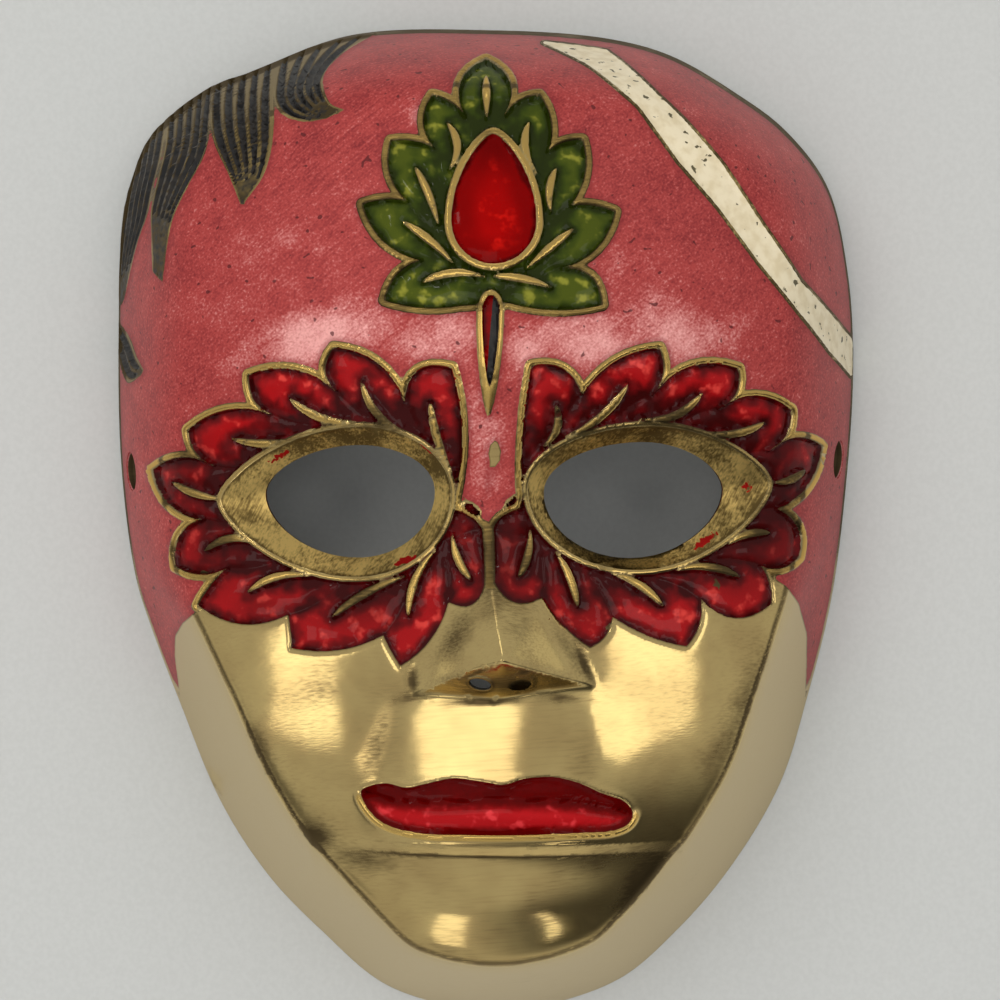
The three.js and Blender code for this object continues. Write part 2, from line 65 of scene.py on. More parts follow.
class Enamel(Enum):
    """Vertex attributes that carry a signed distance in millimetres, negative inside the zone."""

    PINK = "pink_zone"
    RED = "red_zone"
    GREEN = "green_zone"
    DROP = "drop_zone"
    BLACK = "black_zone"
    CREAM = "cream_zone"
    LIPS = "lips_zone"


class Trace(Enum):
    """Other vertex attributes that the finishes read."""

    BEVEL = "filed_zone"
    LOCK = "lock_zone"
    JAW = "jaw_zone"
    ROOM = "room"
    # tarnish and dirt, together with painted shade and painted dark reflections
    TARNISH = "tarnish"
    # painted highlights and painted light on the pink, the enamels and the lips
    SHEEN = "sheen"
    SPILL = "spill"
    RELIEF = "relief"
    INSIDE = "inside"


# Plan curves


def bow(start: Sequence[float], end: Sequence[float], bulge: float, steps: int = 8) -> Plan:
    """Draws a quadratic arc that bulges to the right of its way.

    Args:
        start: first point.
        end: last point, which the arc leaves out.
        bulge: size of the bulge, as a share of the span.
        steps: straight steps.

    Returns:
        The arc's points.
    """
    a, b = np.array(start, float), np.array(end, float)
    span = b - a
    control = (a + b) / 2 + bulge * np.array([span[1], -span[0]])
    t = np.linspace(0, 1, steps, endpoint=False)[:, None]
    return (1 - t) ** 2 * a + 2 * t * (1 - t) * control + t**2 * b


def through(points: Sequence[Sequence[float]], steps: int, closed: bool = False) -> Plan:
    """Draws a smooth curve through points, a centripetal Catmull-Rom spline.

    Args:
        points: points in order.
        steps: straight steps between two of them.
        closed: whether the curve comes back to its start.

    Returns:
        The curve's points.
    """
    p = np.array(points, float)
    if not closed:
        p = np.vstack([2 * p[0] - p[1], p, 2 * p[-1] - p[-2]])
    spans = range(len(p)) if closed else range(1, len(p) - 2)
    t = (np.arange(steps) / steps)[:, None]
    curve = []
    for i in spans:
        p0, p1, p2, p3 = p[i - 1], p[i], p[(i + 1) % len(p)], p[(i + 2) % len(p)]
        d1, d2, d3 = (math.sqrt(np.linalg.norm(q - r)) for q, r in ((p1, p0), (p2, p1), (p3, p2)))
        m1 = d2 * ((p1 - p0) / d1 - (p2 - p0) / (d1 + d2) + (p2 - p1) / d2)
        m2 = d2 * ((p2 - p1) / d2 - (p3 - p1) / (d2 + d3) + (p3 - p2) / d3)
        curve.append((2 * t**3 - 3 * t**2 + 1) * p1 + (t**3 - 2 * t**2 + t) * m1
                     + (3 * t**2 - 2 * t**3) * p2 + (t**3 - t**2) * m2)
    if not closed:
        curve.append(p[-2][None])
    return np.vstack(curve)


def resampled(curve: Plan, count: int) -> Plan:
    """Spaces points evenly along an open curve.

    Args:
        curve: the curve's points.
        count: number of points wanted.

    Returns:
        The evenly spaced points, ends included.
    """
    run = np.concatenate([[0], np.cumsum(np.linalg.norm(np.diff(curve, axis=0), axis=1))])
    at = np.linspace(0, run[-1], count)
    return np.column_stack([np.interp(at, run, curve[:, k]) for k in (0, 1)])


def ribbon(path: Plan, half: np.ndarray) -> Plan:
    """Draws the outline of a strip around a path.

    Args:
        path: centre line.
        half: half the strip's width at each of its points.

    Returns:
        The closed outline.
    """
    along = np.gradient(path, axis=0)
    along /= np.linalg.norm(along, axis=1)[:, None]
    across = np.column_stack([along[:, 1], -along[:, 0]]) * half[:, None]
    return np.vstack([path + across, (path - across)[::-1]])


def ease(low: float, high: float, value: np.ndarray) -> np.ndarray:
    """Smooth step from 0 at low to 1 at high."""
    t = np.clip((value - low) / (high - low), 0, 1)
    return t * t * (3 - 2 * t)


def bead(offset: np.ndarray, half: float) -> np.ndarray:
    """Round cross-section, 1 on the centre line and 0 from half a width on."""
    return np.clip(1 - (offset / half) ** 2, 0, 1)


def smear(offset: np.ndarray, half: float) -> np.ndarray:
    """Soft line, 1 in its middle and about a third at half a width from it."""
    return np.exp(-((offset / half) ** 2))


@dataclass
class Zone:
    """Region of the plan, measured at a set of points."""

    distance: np.ndarray
    foot: Plan

    def crest(self, plan: Plan, offset: float) -> tuple[np.ndarray, Plan]:
        """Finds the line that runs at an offset outside the region's border.

        Args:
            plan: the points that the region was measured at.
            offset: distance outside the border, in millimetres.

        Returns:
            Each point's gap to that line, and the line's nearest point.
        """
        safe = np.where(np.abs(self.distance) < 1e-6, 1e-6, self.distance)
        outward = (plan - self.foot) / safe[:, None]
        return np.abs(self.distance - offset), self.foot + offset * outward


def measured(loop: Plan, plan: Plan, reach: float = FAR) -> Zone:
    """Measures points against a closed contour.

    Args:
        loop: the contour's points.
        plan: the points to measure.
        reach: points farther away than this keep it as their distance.

    Returns:
        Signed distances, negative inside, with the nearest points of the contour.
    """
    distance = np.full(len(plan), float(reach))
    foot = plan + reach
    near = np.flatnonzero(np.all((plan > loop.min(0) - reach) & (plan < loop.max(0) + reach), axis=1))
    near = near[np.argsort(plan[near, 1], kind="stable")]
    x, y = plan[near].T.copy()
    best = np.full(len(near), float(reach) ** 2)
    where = foot[near]
    inside = np.zeros(len(near), bool)
    for a, b in zip(loop, np.roll(loop, -1, axis=0)):
        across, up = b - a
        low, high = sorted((a[1], b[1]))
        rows = slice(*np.searchsorted(y, (low - reach, high + reach)))
        dx, dy = x[rows] - a[0], y[rows] - a[1]
        along = np.clip((dx * across + dy * up) / max(across**2 + up**2, 1e-12), 0, 1)
        gap = (dx - along * across) ** 2 + (dy - along * up) ** 2
        closer = gap < best[rows]
        best[rows][closer] = gap[closer]
        where[rows][closer] = a + along[closer, None] * (b - a)
        rows = slice(*np.searchsorted(y, (low, high)))
        if high > low:
            inside[rows] ^= x[rows] < a[0] + (y[rows] - a[1]) * across / up
    distance[near] = np.where(inside, -1, 1) * np.sqrt(best)
    foot[near] = where
    return Zone(distance, foot)


def joined(zones: Iterable[Zone]) -> Zone:
    """Joins regions into one.

    Args:
        zones: the regions, all measured at the same points.

    Returns:
        The region that holds every point that one of them holds.
    """
    zones = list(zones)
    distance, foot = zones[0].distance.copy(), zones[0].foot.copy()
    for zone in zones[1:]:
        closer = zone.distance < distance
        distance[closer] = zone.distance[closer]
        foot[closer] = zone.foot[closer]
    return Zone(distance, foot)


# The form of the face


@dataclass(frozen=True)
class FaceForm:
    """Smooth form of the face over its rim, as in the part's source."""

    side_reach: float = 30  # beyond this distance from the rim a side wall no longer shapes the front
    outline: tuple = (
        (1, -94), (22.5, -89), (35, -79), (45.5, -67), (55, -51.5), (60.5, -35), (65.5, -16), (68.8, 7),
        (70.4, 28), (69.7, 46), (66, 63), (58, 74), (49, 81), (36.5, 88.5), (24.5, 92), (2, 94),
        (-25, 93.5), (-44.5, 86.7), (-52, 84), (-63.5, 75), (-67.3, 67), (-69.3, 59), (-70.4, 40),
        (-70.4, 12), (-68, -9.6), (-65.3, -19), (-59.7, -34.5), (-52.3, -53.3), (-43.5, -67.4),
        (-33.7, -78), (-20.2, -89.4))
    midline: tuple = (
        (-100, 17, 55), (-92, 23, 58), (-80, 30.5, 68), (-66, 36, 85), (-50, 38.5, 115), (-30, 38.5, 125),
        (-8, 38.5, 115), (12, 41.5, 100), (35, 43.5, 98), (60, 40.5, 98), (80, 34.5, 105), (100, 25, 110))
    eye_centres: tuple = ((-29, 4.5), (29.5, 4.5))
    socket: tuple = (3.5, 24, 15)  # depth, reach across, reach up
    wall_slope: tuple = (2.35, 3.1)  # at the jaw, at the brow
    arris: tuple = (3, 22)  # rounding between side wall and front, at the jaw and at the brow
    jaw_to_brow: tuple = (-25, 15)
    nose: tuple = (
        (0.1, -10.5, 38.4), (0.9, -17.9, 44.2), (2.2, -24.7, 50), (-3.2, -26.2, 46.8), (5.6, -25.8, 46.8),
        (-6.6, -15.5, 37.8), (-10, -20.6, 38.2), (9.6, -14.2, 37.8), (13.6, -21.1, 37.2),
        (-13.8, -31.2, 37.8), (18.3, -30, 37.4), (1.7, -32.4, 38.6))
    nose_foot: float = 32
    nose_fillet: float = 0.6
    foot_root: float = 0.9  # rounding between the nose's foot and the face
    nose_root: float = 1.8  # what the rounding gains further up
    root_grows: tuple = (-32, -27)
    upward: float = 0.02  # least upward part of the normal of a nose face that is seen
    crease_angle: float = 0.12
    muzzle: tuple = ((-16.5, -32), (-19.5, -38), (-21, -42), (-23.5, -47.5), (-20, -57), (22, -58),
                     (25.5, -50.5), (24, -43), (21.8, -37.5), (18.7, -32))
    muzzle_lift: float = 0.4
    muzzle_slope: float = 3.4
    chin_step: tuple = (-33, -56.7, 35, -58.5)
    chin_chamfer: float = 2.6
    chin_front: float = 2  # width of the chin's flattest part, under its step
    chin_back: float = 9  # width over which the chin comes forward again
    chin_depth: float = 1.6

    def rim(self) -> Plan:
        """Closed line of the rim, centred on its box."""
        loop = through(self.outline, 8, closed=True)
        return loop - (loop.min(0) + loop.max(0)) / 2

    def inset(self, plan: Plan) -> Zone:
        """Distance inwards from the rim, positive inside it."""
        zone = measured(self.rim(), plan, self.side_reach)
        return Zone(-zone.distance, zone.foot)

    def front_height(self, plan: Plan) -> np.ndarray:
        """Height of the front, without the side walls.

        Args:
            plan: points of the plan.

        Returns:
            Heights over the rim, in millimetres.
        """
        table = np.array(self.midline, float)
        rows, values = table[:, 0], table[:, 1:]
        y = np.clip(plan[:, 1], rows[0], rows[-1])
        i = np.clip(np.searchsorted(rows, y) - 1, 0, len(rows) - 2)
        slope = np.empty_like(values)
        slope[1:-1] = (values[2:] - values[:-2]) / (rows[2:] - rows[:-2])[:, None]
        slope[0], slope[-1] = ((values[j + 1] - values[j]) / (rows[j + 1] - rows[j]) for j in (0, -2))
        span = (rows[i + 1] - rows[i])[:, None]
        t = (y - rows[i])[:, None] / span
        curve = ((2 * t**3 - 3 * t**2 + 1) * values[i] + (t**3 - 2 * t**2 + t) * span * slope[i]
                 + (3 * t**2 - 2 * t**3) * values[i + 1] + (t**3 - t**2) * span * slope[i + 1])
        height = curve[:, 0] - plan[:, 0] ** 2 / (2 * curve[:, 1])
        depth, across, up = self.socket
        for x, y0 in self.eye_centres:
            height -= depth * np.exp(-(((plan[:, 0] - x) / across) ** 2) - ((plan[:, 1] - y0) / up) ** 2)
        return height

    def height(self, plan: Plan) -> np.ndarray:
        """Height of the smooth face over the rim plane.

        Args:
            plan: points of the plan.

        Returns:
            Heights, in millimetres.
        """
        brow = ease(*self.jaw_to_brow, plan[:, 1])
        side = self.inset(plan).distance * (self.wall_slope[0] + np.ptp(self.wall_slope) * brow)
        front = self.front_height(plan)
        rounding = np.minimum(self.arris[0] + (self.arris[1] - self.arris[0]) * brow, front)
        blend = np.maximum(rounding - np.abs(side - front), 0) / rounding
        return np.minimum(side, front) - blend**2 * rounding / 4

    def normal(self, plan: Plan) -> np.ndarray:
        """Unit normals of the smooth face.

        Args:
            plan: points of the plan.

        Returns:
            One normal a row.
        """
        step = 0.5
        slopes = [self.height(plan + d) - self.height(plan - d) for d in np.eye(2) * step]
        normal = np.column_stack([-slopes[0], -slopes[1], np.full(len(plan), 2 * step)])
        return normal / np.linalg.norm(normal, axis=1)[:, None]

    def _nose_hull(self) -> bmesh.types.BMesh:
        """Hull of the nose's named points and of the points below them."""
        hull = bmesh.new()
        for x, y, z in self.nose:
            for level in (z, self.nose_foot):
                hull.verts.new((x, y, level))
        bmesh.ops.convex_hull(hull, input=hull.verts[:])
        hull.normal_update()
        return hull

    def nose_creases(self) -> list[Plan]:
        """Edges of the nose wedge, as thin closed outlines on the plan."""
        hull = self._nose_hull()
        creases = []
        for edge in hull.edges:
            if (any(f.normal.z > self.upward for f in edge.link_faces)
                    and edge.calc_face_angle(0) > self.crease_angle and edge.calc_length() > 1):
                a, b = (np.array(v.co[:2]) for v in edge.verts)
                creases.append(ribbon(np.linspace(a, b, 2), np.full(2, 0.01)))
        hull.free()
        return creases

    def nose_height(self, plan: Plan) -> np.ndarray:
        """Height of the nose wedge.

        Args:
            plan: points of the plan.

        Returns:
            Heights, in millimetres, which fall below the face away from the nose.
        """
        hull = self._nose_hull()
        height = np.full(len(plan), 1e3)
        for face in hull.faces:
            if face.normal.z > self.upward:
                x, y, z = face.calc_center_median()
                a, b, c = face.normal
                flank = z - ((plan[:, 0] - x) * a + (plan[:, 1] - y) * b) / c
                blend = np.maximum(self.nose_fillet - np.abs(height - flank), 0) / self.nose_fillet
                height = np.minimum(height, flank) - blend**2 * self.nose_fillet / 4
        hull.free()
        return height

    def chin_lines(self, x: np.ndarray) -> tuple[np.ndarray, np.ndarray, np.ndarray]:
        """Lines of the step over the chin.

        Args:
            x: places across the face.

        Returns:
            The height on the plan of its upper and of its lower line, and its share of the full depth.
        """
        x0, y0, x1, y1 = self.chin_step
        share = np.clip((x - x0) / (x1 - x0), 0, 1)
        top = y0 + (y1 - y0) * share - np.sin(np.pi * share)
        return top, top - self.chin_chamfer, np.sin(np.pi * share) ** 0.5

    def chin_drop(self, plan: Plan) -> np.ndarray:
        """Depth by which the chin is set back under the lips.

        Args:
            plan: points of the plan.

        Returns:
            Depths, in millimetres.
        """
        top, low, fade = self.chin_lines(plan[:, 0])
        down = np.clip((top - plan[:, 1]) / self.chin_chamfer, 0, 1)
        foot = low - self.chin_front - self.chin_back
        back = ease(0, 1, (plan[:, 1] - foot) / (self.chin_front + self.chin_back))
        return self.chin_depth * fade * down * np.where(plan[:, 1] < low, back, 1)

    def placed(self, plan: Plan, lift: np.ndarray, nose_lift: np.ndarray | float = 0.0) -> np.ndarray:
        """Places points over the plan on the modelled face.

        Args:
            plan: points of the plan.
            lift: how far each stands out of the face, in millimetres.
            nose_lift: how far each stands over the nose wedge, where that is the surface.

        Returns:
            Points in space, in millimetres.
        """
        surface = np.column_stack([plan, self.height(plan)])
        muzzle = measured(through(self.muzzle, 6, closed=True), plan)
        lift = lift + self.muzzle_lift * ease(self.muzzle_slope, -self.muzzle_slope, muzzle.distance)
        surface += self.normal(plan) * (lift - self.chin_drop(plan))[:, None]
        nose = self.nose_height(plan) + nose_lift
        root = self.foot_root + self.nose_root * ease(*self.root_grows, plan[:, 1])
        blend = np.maximum(root - np.abs(surface[:, 2] - nose), 0) / root
        surface[:, 2] = np.maximum(surface[:, 2], nose) + blend**2 * root / 4
        return surface


# The ornament


@dataclass(frozen=True)
class LeafRing:
    """Ring of leaves around a centre: a field sunk for enamel, with a brass ridge around it.

    Each leaf gives its tip, the swell of the edge that climbs to it, the notch after it and the swell
    of the edge that falls to it.
    """

    start: tuple
    turn: int
    leaves: tuple
    veins: tuple  # outer end, inner end, bend
    vein_width: float = 1.3
    fold_share: float = 0.72  # how far a fold reaches from its notch to the foot of the leaves

    def outline(self) -> Plan:
        """Closed outline of the enamel field."""
        arcs = []
        point = self.start
        for tip_x, tip_y, climb, hook_x, hook_y, fall in self.leaves:
            arcs.append(bow(point, (tip_x, tip_y), climb * self.turn))
            point = (hook_x, hook_y)
            arcs.append(bow((tip_x, tip_y), point, fall * self.turn))
        return np.vstack(arcs)

    def vein_loops(self) -> list[Plan]:
        """Outlines of the raised crescents along the leaves."""
        loops = []
        for x0, y0, x1, y1, bend in self.veins:
            path = np.vstack([bow((x0, y0), (x1, y1), bend, 12), [[x1, y1]]])
            t = np.linspace(0, 1, len(path))
            loops.append(ribbon(path, 0.12 + self.vein_width / 2 * np.sin(np.pi * t**0.8) ** 0.8))
        return loops

    def fold_loops(self) -> list[Plan]:
        """Outlines of the folds that run inwards from the notches, between two veins each."""
        veins = np.array([vein[:4] for vein in self.veins], float)
        loops = []
        for _, _, _, x, y, _ in self.leaves:
            near = np.argsort(np.hypot(veins[:, 0] - x, veins[:, 1] - y))[:2]
            foot = veins[near, 2:4].mean(0)
            end = np.array([x, y]) + self.fold_share * (foot - [x, y])
            path = np.vstack([bow((x, y), end, 0.12, 8), end[None]])
            loops.append(ribbon(path, np.full(len(path), 0.04)))
        return loops


@dataclass(frozen=True)
class EyeOpening:
    """Almond opening: outer corner, top, inner end and bottom of its filed edge and of its hole."""

    edge: tuple
    hole: tuple
    line: float = 0.9
    depth: float = 2.1

    @staticmethod
    def almond(corners: tuple, sharp: float, steps: int = 14) -> Plan:
        """Draws an almond through its four extreme points.

        Args:
            corners: outer corner, top, inner end, bottom.
            sharp: 0 for a pointed outer corner, 0.55 for a round one.
            steps: straight steps in each quarter.

        Returns:
            The closed outline.
        """
        outer, top, inner, bottom = (np.array(c, float) for c in corners)
        quarters = ((outer, top, sharp, 0.55), (top, inner, 0.55, 0.55),
                    (inner, bottom, 0.55, 0.55), (bottom, outer, 0.55, sharp))
        t = np.linspace(0, 1, steps, endpoint=False)[:, None]
        arcs = []
        for i, (a, b, leave, arrive) in enumerate(quarters):
            upright = i % 2 == 0
            first = a + (b - a) * leave * (np.array([0, 1]) if upright else np.array([1, 0]))
            second = b - (b - a) * arrive * (np.array([1, 0]) if upright else np.array([0, 1]))
            arcs.append((1 - t) ** 3 * a + 3 * t * (1 - t) ** 2 * first
                        + 3 * t**2 * (1 - t) * second + t**3 * b)
        return np.vstack(arcs)

    def edge_loop(self) -> Plan:
        """Outline of the filed edge."""
        return self.almond(self.edge, 0.25)

    def hole_loop(self) -> Plan:
        """Outline of the hole."""
        return self.almond(self.hole, 0.45)


@dataclass(frozen=True)
class Teardrop:
    """Drop from its point, the top, to its round end, with a brass line around it."""

    top: tuple
    bottom: tuple
    half: float
    widest: float
    line: float = 0

    def loop(self) -> Plan:
        """Closed outline of the drop."""
        turn = np.linspace(-np.pi / 2, 1.5 * np.pi, 56, endpoint=False)
        rise = np.where(np.sin(turn) < 0, self.widest - self.bottom[1], self.top[1] - self.widest)
        y = self.widest + rise * np.sin(turn)
        taper = np.where(np.sin(turn) < 0, 1, 0.45 + 0.55 * np.abs(np.cos(turn)))
        share = (y - self.bottom[1]) / (self.top[1] - self.bottom[1])
        lean = self.bottom[0] + share * (self.top[0] - self.bottom[0])
        return np.column_stack([lean + self.half * np.cos(turn) * taper, y])


@dataclass(frozen=True)
class HairLock:
    """Lock of hair between two edges, with grooves from the rim to its tip."""

    left: tuple
    right: tuple
    shares: tuple
    fill: float = 0.6  # share of the spacing that a groove takes
    widest_spacing: float = 2.4
    narrowest_half: float = 0.08

    def edges(self) -> tuple[Plan, Plan]:
        """The two edges with the same number of evenly spaced points."""
        return tuple(resampled(through(side, 8), 25) for side in (self.left, self.right))

    def outline(self) -> Plan:
        """Closed outline of the lock."""
        left, right = self.edges()
        return np.vstack([left, right[::-1]])

    def grooves(self) -> list[Plan]:
        """Outlines of the black grooves."""
        left, right = self.edges()
        t = np.linspace(0, 1, len(left))
        gap = np.linalg.norm(right - left, axis=1)
        spacing = np.minimum(gap / len(self.shares), self.widest_spacing)
        taper = np.clip(np.sin(np.pi * (0.06 + 0.9 * t)), 0, 1) ** 0.4
        half = np.maximum(self.narrowest_half, self.fill * spacing / 2 * taper)
        return [ribbon(left + share * (right - left), half) for share in self.shares]


@dataclass(frozen=True)
class Lips:
    """Enamelled lips in a brass rim."""

    loop_points: tuple = (
        (-23.6, -48.4), (-23.2, -50.2), (-20.8, -53.3), (-17.7, -55), (-12.4, -56.1), (-5, -56.4),
        (5.6, -56.6), (15.1, -56.5), (21.5, -56.3), (24.4, -55.2), (25.3, -53.4), (23.9, -51.2),
        (19.5, -49.4), (15.8, -47.6), (11, -46.3), (5.8, -46.5), (2.1, -47.5), (-1.6, -46.9),
        (-6.9, -46.2), (-12.2, -47.2), (-15.4, -47.8), (-19, -47), (-21.7, -47.4))
    parting: tuple = ((-23, -48.8), (-19.7, -49.9), (-10.1, -50.6), (2, -50.3), (16.3, -51.4), (24.3, -53))
    rim: float = 0.9
    rim_height: tuple = (0.04, 0.55)  # over the upper lip, and what it gains under the lower one
    rim_crest: tuple = (0.5, 0.55)  # distance from the lips' contour, and half the width
    upper: tuple = (-1.25, 0.35, 3.2)  # height beside the parting, rise from there, and its reach
    lower: tuple = (-1.5, 1.0, 5.5)
    groove: tuple = (0.6, 0.5)  # depth of the parting, and half its width
    deepest: float = -1.9
    side_wall: float = 0.4  # width of the wall between the rim and the enamel

    def loop(self) -> Plan:
        """Closed outline of the lips."""
        return through(self.loop_points, 5, closed=True)

    def parting_height(self, x: np.ndarray) -> np.ndarray:
        """Height on the plan of the line between the lips."""
        line = through(self.parting, 6)
        return np.interp(x, line[:, 0], line[:, 1])

    def rim_relief(self, over: np.ndarray, gap: np.ndarray) -> np.ndarray:
        """Height of the brass rim.

        Args:
            over: each point's height over the parting, on the plan.
            gap: its signed distance to the lips' contour.

        Returns:
            Heights over the smooth face, in millimetres.
        """
        base, gain = self.rim_height
        offset, half = self.rim_crest
        return (base + gain * ease(0.5, -1.5, over)) * smear(gap - offset, half)

    def enamel_relief(self, over: np.ndarray, gap: np.ndarray) -> np.ndarray:
        """Height of the enamel.

        Args:
            over: each point's height over the parting, on the plan.
            gap: its signed distance to the lips' contour.

        Returns:
            Heights over the smooth face, in millimetres.
        """
        start, rise, reach = self.upper
        above = start + rise * np.clip(over / reach, 0, 1)
        start, rise, reach = self.lower
        below = start + rise * np.sin(np.pi * np.clip(-over / reach, 0, 1)) ** 0.6
        depth, half = self.groove
        pout = np.where(over > 0, above, below) - depth * smear(over, half)
        return np.maximum(pout, self.deepest) * np.clip(-gap / 0.7, 0.55, 1)


@dataclass(frozen=True)
class Oval:
    """Small oval, such as a nostril."""

    at: tuple
    wide: float
    high: float
    lean: float  # degrees

    def loop(self) -> Plan:
        """Closed outline of the oval."""
        turn = np.linspace(0, 2 * np.pi, 28, endpoint=False)
        x, y = self.wide / 2 * np.cos(turn), self.high / 2 * np.sin(turn)
        c, s = math.cos(math.radians(self.lean)), math.sin(math.radians(self.lean))
        return np.column_stack([self.at[0] + c * x - s * y, self.at[1] + s * x + c * y])


@dataclass(frozen=True)
class Blotch:
    """Soft oval patch, used for tarnish, painted shade and painted light."""

    at: tuple
    along: float
    across: float
    angle: float  # of its long way, in degrees from +X
    strength: float

    def amount(self, plan: Plan) -> np.ndarray:
        """Strength of the patch at points of the plan."""
        c, s = math.cos(math.radians(self.angle)), math.sin(math.radians(self.angle))
        x, y = (plan - self.at).T
        u, v = (c * x + s * y) / self.along, (c * y - s * x) / self.across
        return self.strength * np.exp(-(u**2) - v**2)

    @staticmethod
    def strongest(patches: Iterable["Blotch"], plan: Plan) -> np.ndarray:
        """Strength of the strongest of several patches at points of the plan."""
        return np.maximum.reduce([patch.amount(plan) for patch in patches])


@dataclass(frozen=True)
class RibbonHole:
    """Round hole in a side wall, drawn as the oval that it makes on the plan."""

    side: int
    radius: float = 3.7
    y: float = 10.2
    z: float = 8
    slope: float = 3.08
    depth: float = 2.95  # through the side wall, along X

    def loop(self, face: FaceForm) -> Plan:
        """Closed outline on the plan.

        Args:
            face: the face whose side wall it goes through.

        Returns:
            The outline's points.
        """
        turn = np.linspace(0, 2 * np.pi, 32, endpoint=False) * self.side
        y = self.y + self.radius * np.cos(turn)
        inset = (self.z + self.radius * np.sin(turn)) / self.slope
        rim = face.rim()
        wall = rim[np.sign(rim[:, 0]) == self.side]
        wall = wall[np.argsort(wall[:, 1])]
        return np.column_stack([np.interp(y, wall[:, 1], wall[:, 0]) - self.side * inset, y])


LEFT_WREATH = LeafRing(
    start=(-5.2, 7.3), turn=1,
    leaves=((-6, 27.3, 0.12, -14.5, 21.3, 0.6), (-27, 31.4, 0.32, -26.8, 23.5, 0.45),
            (-42.8, 27, 0.3, -38.8, 19.7, 0.35), (-54.7, 17.4, 0.28, -50, 10.7, 0.3),
            (-62.4, 10.3, 0.3, -52.3, 1, 0.35), (-57.8, -7.6, 0.45, -47.9, -8, 0.25),
            (-53.5, -14.9, 0.1, -36.6, -16.5, 0.3), (-36.1, -22.6, -0.05, -19.2, -20.4, 0.18),
            (-16.2, -26, 0.05, -7.3, -14.6, 0.2), (-0.8, -11.7, 0.6, -1.1, -1.6, 0.03),
            (-2.7, 0.3, 0.1, -6.1, 1.9, 0.1), (-5.9, 4.2, 0.05, -5.2, 7.3, 0.05)),
    veins=((-9.9, 21.3, -6.2, 8.6, 0.11), (-22.2, 25.3, -13.5, 15.5, 0.29), (-35.3, 22.5, -23.5, 18.1, 0.22),
           (-46.4, 15.6, -32.6, 15.8, 0.17), (-58.2, 8, -48.6, 4.7, 0.14), (-52.1, -4.8, -40.7, -4.2, -0.35),
           (-44, -12.4, -32.6, -9.6, -0.24), (-28.5, -17.1, -14.9, -9.8, -0.11),
           (-14.6, -17, -9.4, -5.2, -0.22), (-3.2, -10.6, -6.4, -2.3, -0.18)))
RIGHT_WREATH = LeafRing(
    start=(6.3, 7.5), turn=-1,
    leaves=((8.4, 27.4, 0.05, 17.3, 22, 0.45), (31.4, 30.4, 0.25, 30.2, 22, 0.3),
            (46, 26.7, 0.35, 42.4, 19.5, 0.4), (56.1, 19.2, 0.35, 51.6, 11.6, 0.35),
            (62.6, 12.7, 0.35, 53.2, 1.1, 0.3), (57.4, -7.9, 0.45, 50, -9.3, 0.3),
            (51.9, -16.3, 0.2, 38.6, -15, 0.45), (35.8, -23.5, 0.25, 22.3, -17.7, 0.12),
            (18.1, -23.2, 0.3, 9.6, -14, 0.12), (1.1, -11.2, 0.5, 1.1, -1.4, -0.04),
            (2.4, 0.3, 0.1, 6, 1.9, 0.1), (6.5, 4.6, 0.05, 6.3, 7.5, 0.05)),
    veins=((12.6, 20.4, 10.2, 13, -0.36), (25.6, 23.9, 14.2, 14.7, -0.18), (39.2, 22.3, 28, 17.8, -0.3),
           (51, 17, 40.1, 15.3, -0.21), (58.9, 8.2, 52.5, 6, -0.22), (51.8, -3.3, 43.8, -5.2, 0.21),
           (45.9, -11.2, 34.1, -9.7, 0.21), (31.5, -16.1, 22.1, -9.9, 0.17), (16, -15.9, 12.2, -5.9, 0.12),
           (5.4, -10.4, 7.6, -1.9, 0.16)))
CROWN = LeafRing(
    start=(4.5, 38.8), turn=1,
    leaves=((21.1, 38.3, 0.14, 13.7, 44.8, 0.5), (23.8, 55, 0.3, 15.7, 56.1, 0.15),
            (18.2, 68.2, 0.25, 12, 66.1, 0.2), (10.6, 76.7, 0.25, 4.2, 72.8, 0.25),
            (1.1, 84.9, 0.45, -2.6, 72.5, 0.45), (-8.6, 77, 0.2, -8.5, 67.2, 0.35),
            (-16.2, 68.6, 0.15, -13.3, 57.4, 0.3), (-21.4, 57.1, 0.15, -10.9, 46.7, 0.3),
            (-17.6, 39.7, 0.3, -1.9, 38.9, 0.15)),
    veins=((1.1, 80.8, 1.1, 72.6, 0), (-6.1, 71.8, -5.8, 62.9, -0.37), (-11.9, 63.6, -7.9, 53.1, -0.07),
           (-14.2, 53.7, -5.4, 46, -0.09), (-10.9, 42.7, 0.3, 43.4, -0.22), (8.7, 71.6, 9.9, 62, 0.29),
           (13.4, 63, 12.3, 55, 0.18), (16.2, 51.9, 7.8, 44.9, 0.02), (1.7, 43.5, 12.2, 41.3, -0.12)))
EYES = (
    EyeOpening(((-48.8, 4.4), (-23.2, 17.2), (-6.5, 5), (-23.8, -9.9)),
               ((-41.2, 5.1), (-23.9, 13.4), (-9.8, 5.2), (-23.8, -6.2))),
    EyeOpening(((51.6, 5.7), (29.6, 16.5), (7.3, 5.5), (27.5, -9.5)),
               ((43.8, 4.6), (28.7, 13.1), (10.6, 4.4), (26.4, -7.1))))
DROP = Teardrop((2.2, 69.4), (2, 45.8), 7.6, 53.5, 1.3)
PENDANT = Teardrop((0.5, 18.4), (1.3, 41.2), 2.5, 37)
PENDANT_FILL = Teardrop((0.8, 24), (1.3, 40.1), 1.5, 37.2)
EYELETS = (Oval((-2.9, 2.1), 3.2, 1.2, -35), Oval((4.5, 3.2), 2.3, 0.8, 35))
